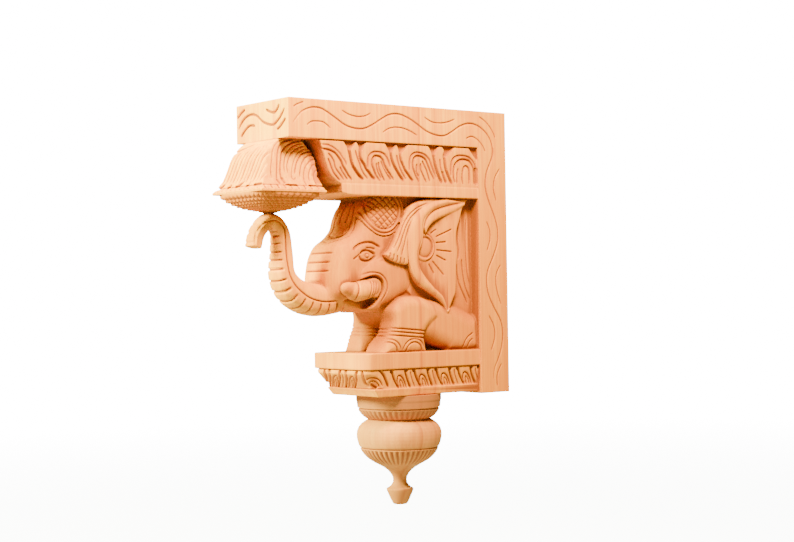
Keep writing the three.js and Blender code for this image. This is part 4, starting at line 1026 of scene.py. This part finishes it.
def carved_mesh():
    grid = carved_field()
    piece = thinned(grid)
    mesh = piece.data
    co = np.empty(len(mesh.vertices) * 3, np.float32)
    mesh.vertices.foreach_get("co", co)
    co = co.reshape(-1, 3)
    normals, longest = face_weighted_normals(mesh, co)
    mesh.shade_smooth()
    mesh.normals_split_custom_set_from_vertices(normals.tolist())
    where = np.stack([co[:, 0], -co[:, 1], co[:, 2]], -1) / MM
    out = np.stack([normals[:, 0], -normals[:, 1], normals[:, 2]], -1)
    mark_hollows(mesh, grid, where, out, longest)
    mark_painted_shade(mesh, where, out)
    return piece


# Turned pendant

PENDANT_DROP = 0.3
PENDANT_REACH = (POST + PLATFORM) / 2
PENDANT_LEVEL = FOOT_LOW - PENDANT_DROP
# Radius, and drop below the pendant's top
PROFILE = [
    (0, 0), (49.0, 0), (49.6, 0.6), (49.6, 6.2), (49.4, 7.2), (49.0, 8.0), (48.6, 12.0), (48.2, 15.0),
    (46.2, 16.1), (46.4, 16.6), (47.2, 17.6), (46.3, 19.6), (44.6, 22.2), (41.8, 25.2), (38.6, 27.6),
    (36.6, 28.4), (36.3, 28.9), (37.6, 29.9), (40.8, 31.8), (44.4, 34.6), (47.0, 37.8), (48.8, 41.6),
    (49.5, 46), (49.4, 50), (48.5, 54.4), (47.1, 58.6), (46.1, 60.6), (44.7, 61.4), (44.6, 61.9),
    (45.4, 62.8), (44.2, 65.6), (41.6, 69.4), (38.0, 73.2), (33.6, 76.6), (28.6, 79.6), (23.6, 82.2),
    (18.4, 85.2), (14.0, 88.6), (10.8, 92.2), (8.6, 96.2), (7.9, 99.6), (8.3, 102.6), (9.9, 105.6),
    (12.6, 108.2), (15.5, 109.6), (15.8, 110.4), (15.6, 111.6), (14.2, 115.2), (11.4, 121.6),
    (9.0, 126.4), (7.5, 127.9), (6.2, 128.2), (0, 128.2)]
# Drop and half width of the turned grooves
TURNED_GROOVES = ((16.3, 1.2), (28.6, 1.6), (61.6, 1.2))
FLUTES = 44
COLUMNS = FLUTES * 6


def flute_depth(drop, angle):
    """Slim flutes cut on the underside of the cup and on the cone."""
    cup = ramp(drop, 17.2, 19.4) * (1 - ramp(drop, 26.2, 28.0))
    cone = ramp(drop, 62.6, 64.6) * (1 - ramp(drop, 76.0, 83.0))
    wave = 0.5 + 0.5 * np.cos(angle * FLUTES)
    return (1.3 * cup + 1.8 * cone) * wave ** 1.4


def fine_profile():
    """The profile in steps of about a millimetre, from just off the axis to the tip."""
    fine = []
    for a, b in zip(PROFILE[:-1], PROFILE[1:]):
        steps = max(int(math.hypot(b[0] - a[0], b[1] - a[1])), 1)
        if b[0] == 0 or a[0] == 0:
            steps = 3
        for k in range(steps):
            t = k / steps
            fine.append((a[0] + (b[0] - a[0]) * t, a[1] + (b[1] - a[1]) * t))
    return fine[1:] + [(0.0, PROFILE[-1][1])]


def pendant_mesh():
    fine = fine_profile()
    angles = np.arange(COLUMNS) * 2 * math.pi / COLUMNS
    verts = [(0.0, -PENDANT_REACH * MM, PENDANT_LEVEL * MM)]
    rows = len(fine) - 1
    for radius, drop in fine[:-1]:
        pulled = radius - flute_depth(np.full(COLUMNS, drop), angles)
        for a, rad in zip(angles, pulled):
            verts.append((rad * math.cos(a) * MM, (-PENDANT_REACH + rad * math.sin(a)) * MM,
                          (PENDANT_LEVEL - drop) * MM))
    verts.append((0.0, -PENDANT_REACH * MM, (PENDANT_LEVEL - PROFILE[-1][1]) * MM))

    beside = [(k, (k + 1) % COLUMNS) for k in range(COLUMNS)]
    faces = [(0, 1 + k, 1 + n) for k, n in beside]
    for row in range(rows - 1):
        here, below = 1 + row * COLUMNS, 1 + (row + 1) * COLUMNS
        faces += [(here + k, below + k, below + n, here + n) for k, n in beside]
    last = 1 + (rows - 1) * COLUMNS
    faces += [(last + k, len(verts) - 1, last + n) for k, n in beside]
    mesh = new_mesh("turned_body", verts, faces)
    mesh.shade_smooth()
    mesh.set_sharp_from_angle(angle=math.radians(40))

    across, along, level = np.array(verts).T
    drops = PENDANT_LEVEL - level / MM
    along = along + PENDANT_REACH * MM
    # Painted shade in the flutes and the turned grooves
    recess = 0.418 + 0.062 * flute_depth(drops, np.arctan2(along, across))
    for at, size in TURNED_GROOVES:
        recess += 0.09 * tent(drops - at, size)
    # Painted shade on the slim parts near the axis and towards the top, under the platform
    axis_shade = 0.09 * (1 - ramp(np.hypot(across, along) / MM, 10, 44))
    add_mark(mesh, "recess", recess)
    add_mark(mesh, "hollow", 0.42 + axis_shade + 0.16 * np.clip(1 - drops / 34, 0, 1) ** 0.5)
    return new_object("turned_body", mesh)


# Materials

class Shader:
    """The nodes of one material or world."""

    def __init__(self, owner):
        owner.use_nodes = True
        self.nodes, self.links = owner.node_tree.nodes, owner.node_tree.links

    def fill(self, node, inputs):
        """Sets inputs, by name or number, to a value or to another node's output."""
        for socket, value in inputs.items():
            if isinstance(value, bpy.types.NodeSocket):
                self.links.new(value, node.inputs[socket])
            else:
                node.inputs[socket].default_value = value
        return node

    def add(self, kind, inputs, **settings):
        node = self.nodes.new(kind)
        for name, value in settings.items():
            setattr(node, name, value)
        return self.fill(node, inputs)

    def rescale(self, value, low, high, to_low=0.0, to_high=1.0, **settings):
        inputs = {0: value, 1: low, 2: high, 3: to_low, 4: to_high}
        return self.add("ShaderNodeMapRange", inputs, **settings).outputs[0]


BOARD_LINES = ((-0.1316, 0.85), (-0.1086, 0.55))
RECESS_RANGE = (0.387, 0.488)
HOLLOW_RANGE = (0.42, 0.60)


def timber(name, light, deep, shade):
    """Pale straight-grained timber: vertical grain, pores, and warmer painted shade in the cuts."""
    made = bpy.data.materials.new(name)
    shader = Shader(made)
    shader.nodes.clear()
    rescale = shader.rescale
    spot = shader.add("ShaderNodeTexCoord", {}).outputs["Object"]

    def noise(scale, detail, rough, distortion=0.0):
        spaced = shader.add("ShaderNodeMapping", {0: spot, "Scale": scale}).outputs[0]
        inputs = {"Vector": spaced, "Scale": 1.0, "Detail": detail, "Roughness": rough,
                  "Distortion": distortion}
        return shader.add("ShaderNodeTexNoise", inputs).outputs["Fac"]

    def mix(factor, a, b, blend="MIX"):
        inputs = {0: factor, 6: a, 7: b}
        return shader.add("ShaderNodeMix", inputs, data_type="RGBA", blend_type=blend).outputs[2]

    def mark(attribute):
        return shader.add("ShaderNodeAttribute", {}, attribute_name=attribute).outputs["Fac"]

    grain = noise((120, 120, 4), 6, 0.62, 0.6)
    streaks = noise((420, 420, 5), 4, 0.6, 0.3)
    pores = noise((1500, 1500, 55), 3, 0.55)
    tone = noise((16, 16, 7), 3, 0.5)
    place = shader.add("ShaderNodeSeparateXYZ", {0: spot}).outputs
    colour = mix(rescale(tone, 0.35, 0.65), light[0], light[1])
    # A paler, yellower painted light towards the top
    colour = mix(rescale(place["Z"], 0.04, 0.13), colour, light[5])
    colour = mix(rescale(grain, 0.40, 0.64, 0.0, 0.85), colour, light[2])
    colour = mix(rescale(streaks, 0.47, 0.68, 0.0, 0.80), colour, light[2])
    colour = mix(rescale(pores, 0.58, 0.76, 0.0, 0.45), colour, light[3])
    for at, strength in BOARD_LINES:
        line = mix(1.0, rescale(place["Y"], at - 0.0050, at, 0.0, strength),
                   rescale(place["Y"], at, at + 0.0016, 1.0, 0.0), "MULTIPLY")
        colour = mix(line, colour, light[3])
    # Painted shade by place
    colour = mix(rescale(mark("painted_shade"), 0.0, 1.4, 0.0, 0.85), colour, light[4])
    # Painted shade in the narrow cuts and in the wider hollows
    colour = mix(rescale(mark("recess"), *RECESS_RANGE), colour, deep)
    colour = mix(rescale(mark("hollow"), *HOLLOW_RANGE), colour, shade)
    bump = shader.add("ShaderNodeBump", {"Strength": 0.25, "Distance": 0.0004,
                                         "Height": noise((700, 700, 30), 4, 0.6)})
    surface = shader.add("ShaderNodeBsdfPrincipled", {
        "Base Color": colour, "Roughness": rescale(grain, 0.3, 0.7, 0.50, 0.64),
        "Specular IOR Level": 0.08, "Normal": bump.outputs[0]})
    shader.add("ShaderNodeOutputMaterial", {0: surface.outputs[0]})
    return made


# Two plain tones, grain, pores and board lines, painted shade by place, and a paler painted light towards the
# top
CREAM = ((0.86, 0.262, 0.012, 1), (0.88, 0.290, 0.015, 1), (0.69, 0.180, 0.009, 1),
         (0.48, 0.090, 0.008, 1), (0.42, 0.083, 0.009, 1), (0.90, 0.335, 0.016, 1))
TURNED = ((0.71, 0.245, 0.070, 1), (0.73, 0.270, 0.080, 1), (0.60, 0.185, 0.050, 1),
          (0.45, 0.120, 0.035, 1), (0.42, 0.10, 0.03, 1), (0.73, 0.27, 0.08, 1))
# The last two colours are the painted shade of the cuts and of the wider hollows
carved_timber = timber("carved_timber", CREAM, (0.35, 0.066, 0.013, 1), (0.28, 0.060, 0.010, 1))
turned_timber = timber("turned_timber", TURNED, (0.32, 0.078, 0.030, 1), (0.33, 0.093, 0.038, 1))

body_piece = carved_mesh()
body_piece.data.materials.clear()
body_piece.data.materials.append(carved_timber)
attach(body_piece, "root")
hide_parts("carved_bracket")

pendant_piece = pendant_mesh()
pendant_piece.data.materials.append(turned_timber)
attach(pendant_piece, "root")
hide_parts("turned_pendant")

# Stage, light and camera

FLOOR_LEVEL = -0.42
FLOOR_SIZE = 5.0


def floor():
    """A pale round floor that fades out into the pale background."""
    corners = [(-FLOOR_SIZE, -FLOOR_SIZE), (FLOOR_SIZE, -FLOOR_SIZE), (FLOOR_SIZE, FLOOR_SIZE),
               (-FLOOR_SIZE, FLOOR_SIZE)]
    mesh = new_mesh("floor", [(x, y, FLOOR_LEVEL) for x, y in corners], [(0, 1, 2, 3)])
    made = bpy.data.materials.new("pale_floor")
    shader = Shader(made)
    surface = shader.fill(shader.nodes["Principled BSDF"], {
        "Base Color": (0.78, 0.86, 1.0, 1), "Roughness": 0.9, "Specular IOR Level": 0.1})
    spot = shader.add("ShaderNodeTexCoord", {}).outputs["Object"]
    length = shader.add("ShaderNodeVectorMath", {0: spot}, operation="LENGTH")
    fade = shader.rescale(length.outputs["Value"], 0.8, 3.6, 0.4, 0.0, interpolation_type="SMOOTHSTEP")
    clear = shader.add("ShaderNodeBsdfTransparent", {})
    blend = shader.add("ShaderNodeMixShader", {0: fade, 1: clear.outputs[0], 2: surface.outputs[0]})
    shader.fill(shader.nodes["Material Output"], {0: blend.outputs[0]})
    mesh.materials.append(made)
    return new_object("floor", mesh)


floor()


def studio():
    """Soft white surroundings, brighter as a backdrop than as a light."""
    made = bpy.data.worlds.new("studio")
    shader = Shader(made)
    light = shader.fill(shader.nodes["Background"], {0: (1.0, 0.90, 0.50, 1), 1: 0.33})
    backdrop = shader.add("ShaderNodeBackground", {0: (1.0, 1.0, 1.0, 1), 1: 18.0})
    seen = shader.add("ShaderNodeLightPath", {}).outputs["Is Camera Ray"]
    blend = shader.add("ShaderNodeMixShader", {0: seen, 1: light.outputs[0], 2: backdrop.outputs[0]})
    shader.fill(shader.nodes["World Output"], {0: blend.outputs[0]})
    return made


bpy.context.scene.world = studio()


def lamp(name, place, target, size, watts, colour):
    data = bpy.data.lights.new(name, "AREA")
    data.shape = "DISK"
    data.size = size
    data.energy = watts
    data.color = colour
    made = new_object(name, data)
    made.location = place
    made.rotation_euler = (Vector(target) - Vector(place)).to_track_quat("-Z", "Y").to_euler()


lamp("key", (-0.44, -1.45, 0.64), (0, -0.25, 0.0), size=0.6, watts=172, colour=(1.0, 1.33, 0.42))
lamp("side", (0.53, -0.38, 0.68), (0.05, -0.17, 0.02), size=0.3, watts=49, colour=(1.0, 0.88, 0.30))

# The camera is the one that the photograph fits, with its focal length in pixels of the picture
YAW, PITCH, ROLL = math.radians(52.0), math.radians(-0.8043), math.radians(-0.9147)
FOCAL = 1571.14
PICTURE_WIDTH = 794
SENSOR = 36.0
forward = Vector((-math.sin(YAW) * math.cos(PITCH), math.cos(YAW) * math.cos(PITCH), -math.sin(PITCH)))
level_right = Vector((math.cos(YAW), math.sin(YAW), 0))
level_up = level_right.cross(forward)
right = math.cos(ROLL) * level_right + math.sin(ROLL) * level_up
up = -math.sin(ROLL) * level_right + math.cos(ROLL) * level_up
lens = bpy.data.cameras.new("camera")
lens.sensor_width = SENSOR
lens.lens = FOCAL / PICTURE_WIDTH * SENSOR
lens.clip_start, lens.clip_end = 0.05, 60
camera = new_object("camera", lens)
turn = Matrix((right, up, -forward)).transposed().to_4x4()
camera.matrix_world = Matrix.Translation((1.4425, -1.25343, -0.04657)) @ turn
bpy.context.scene.camera = camera
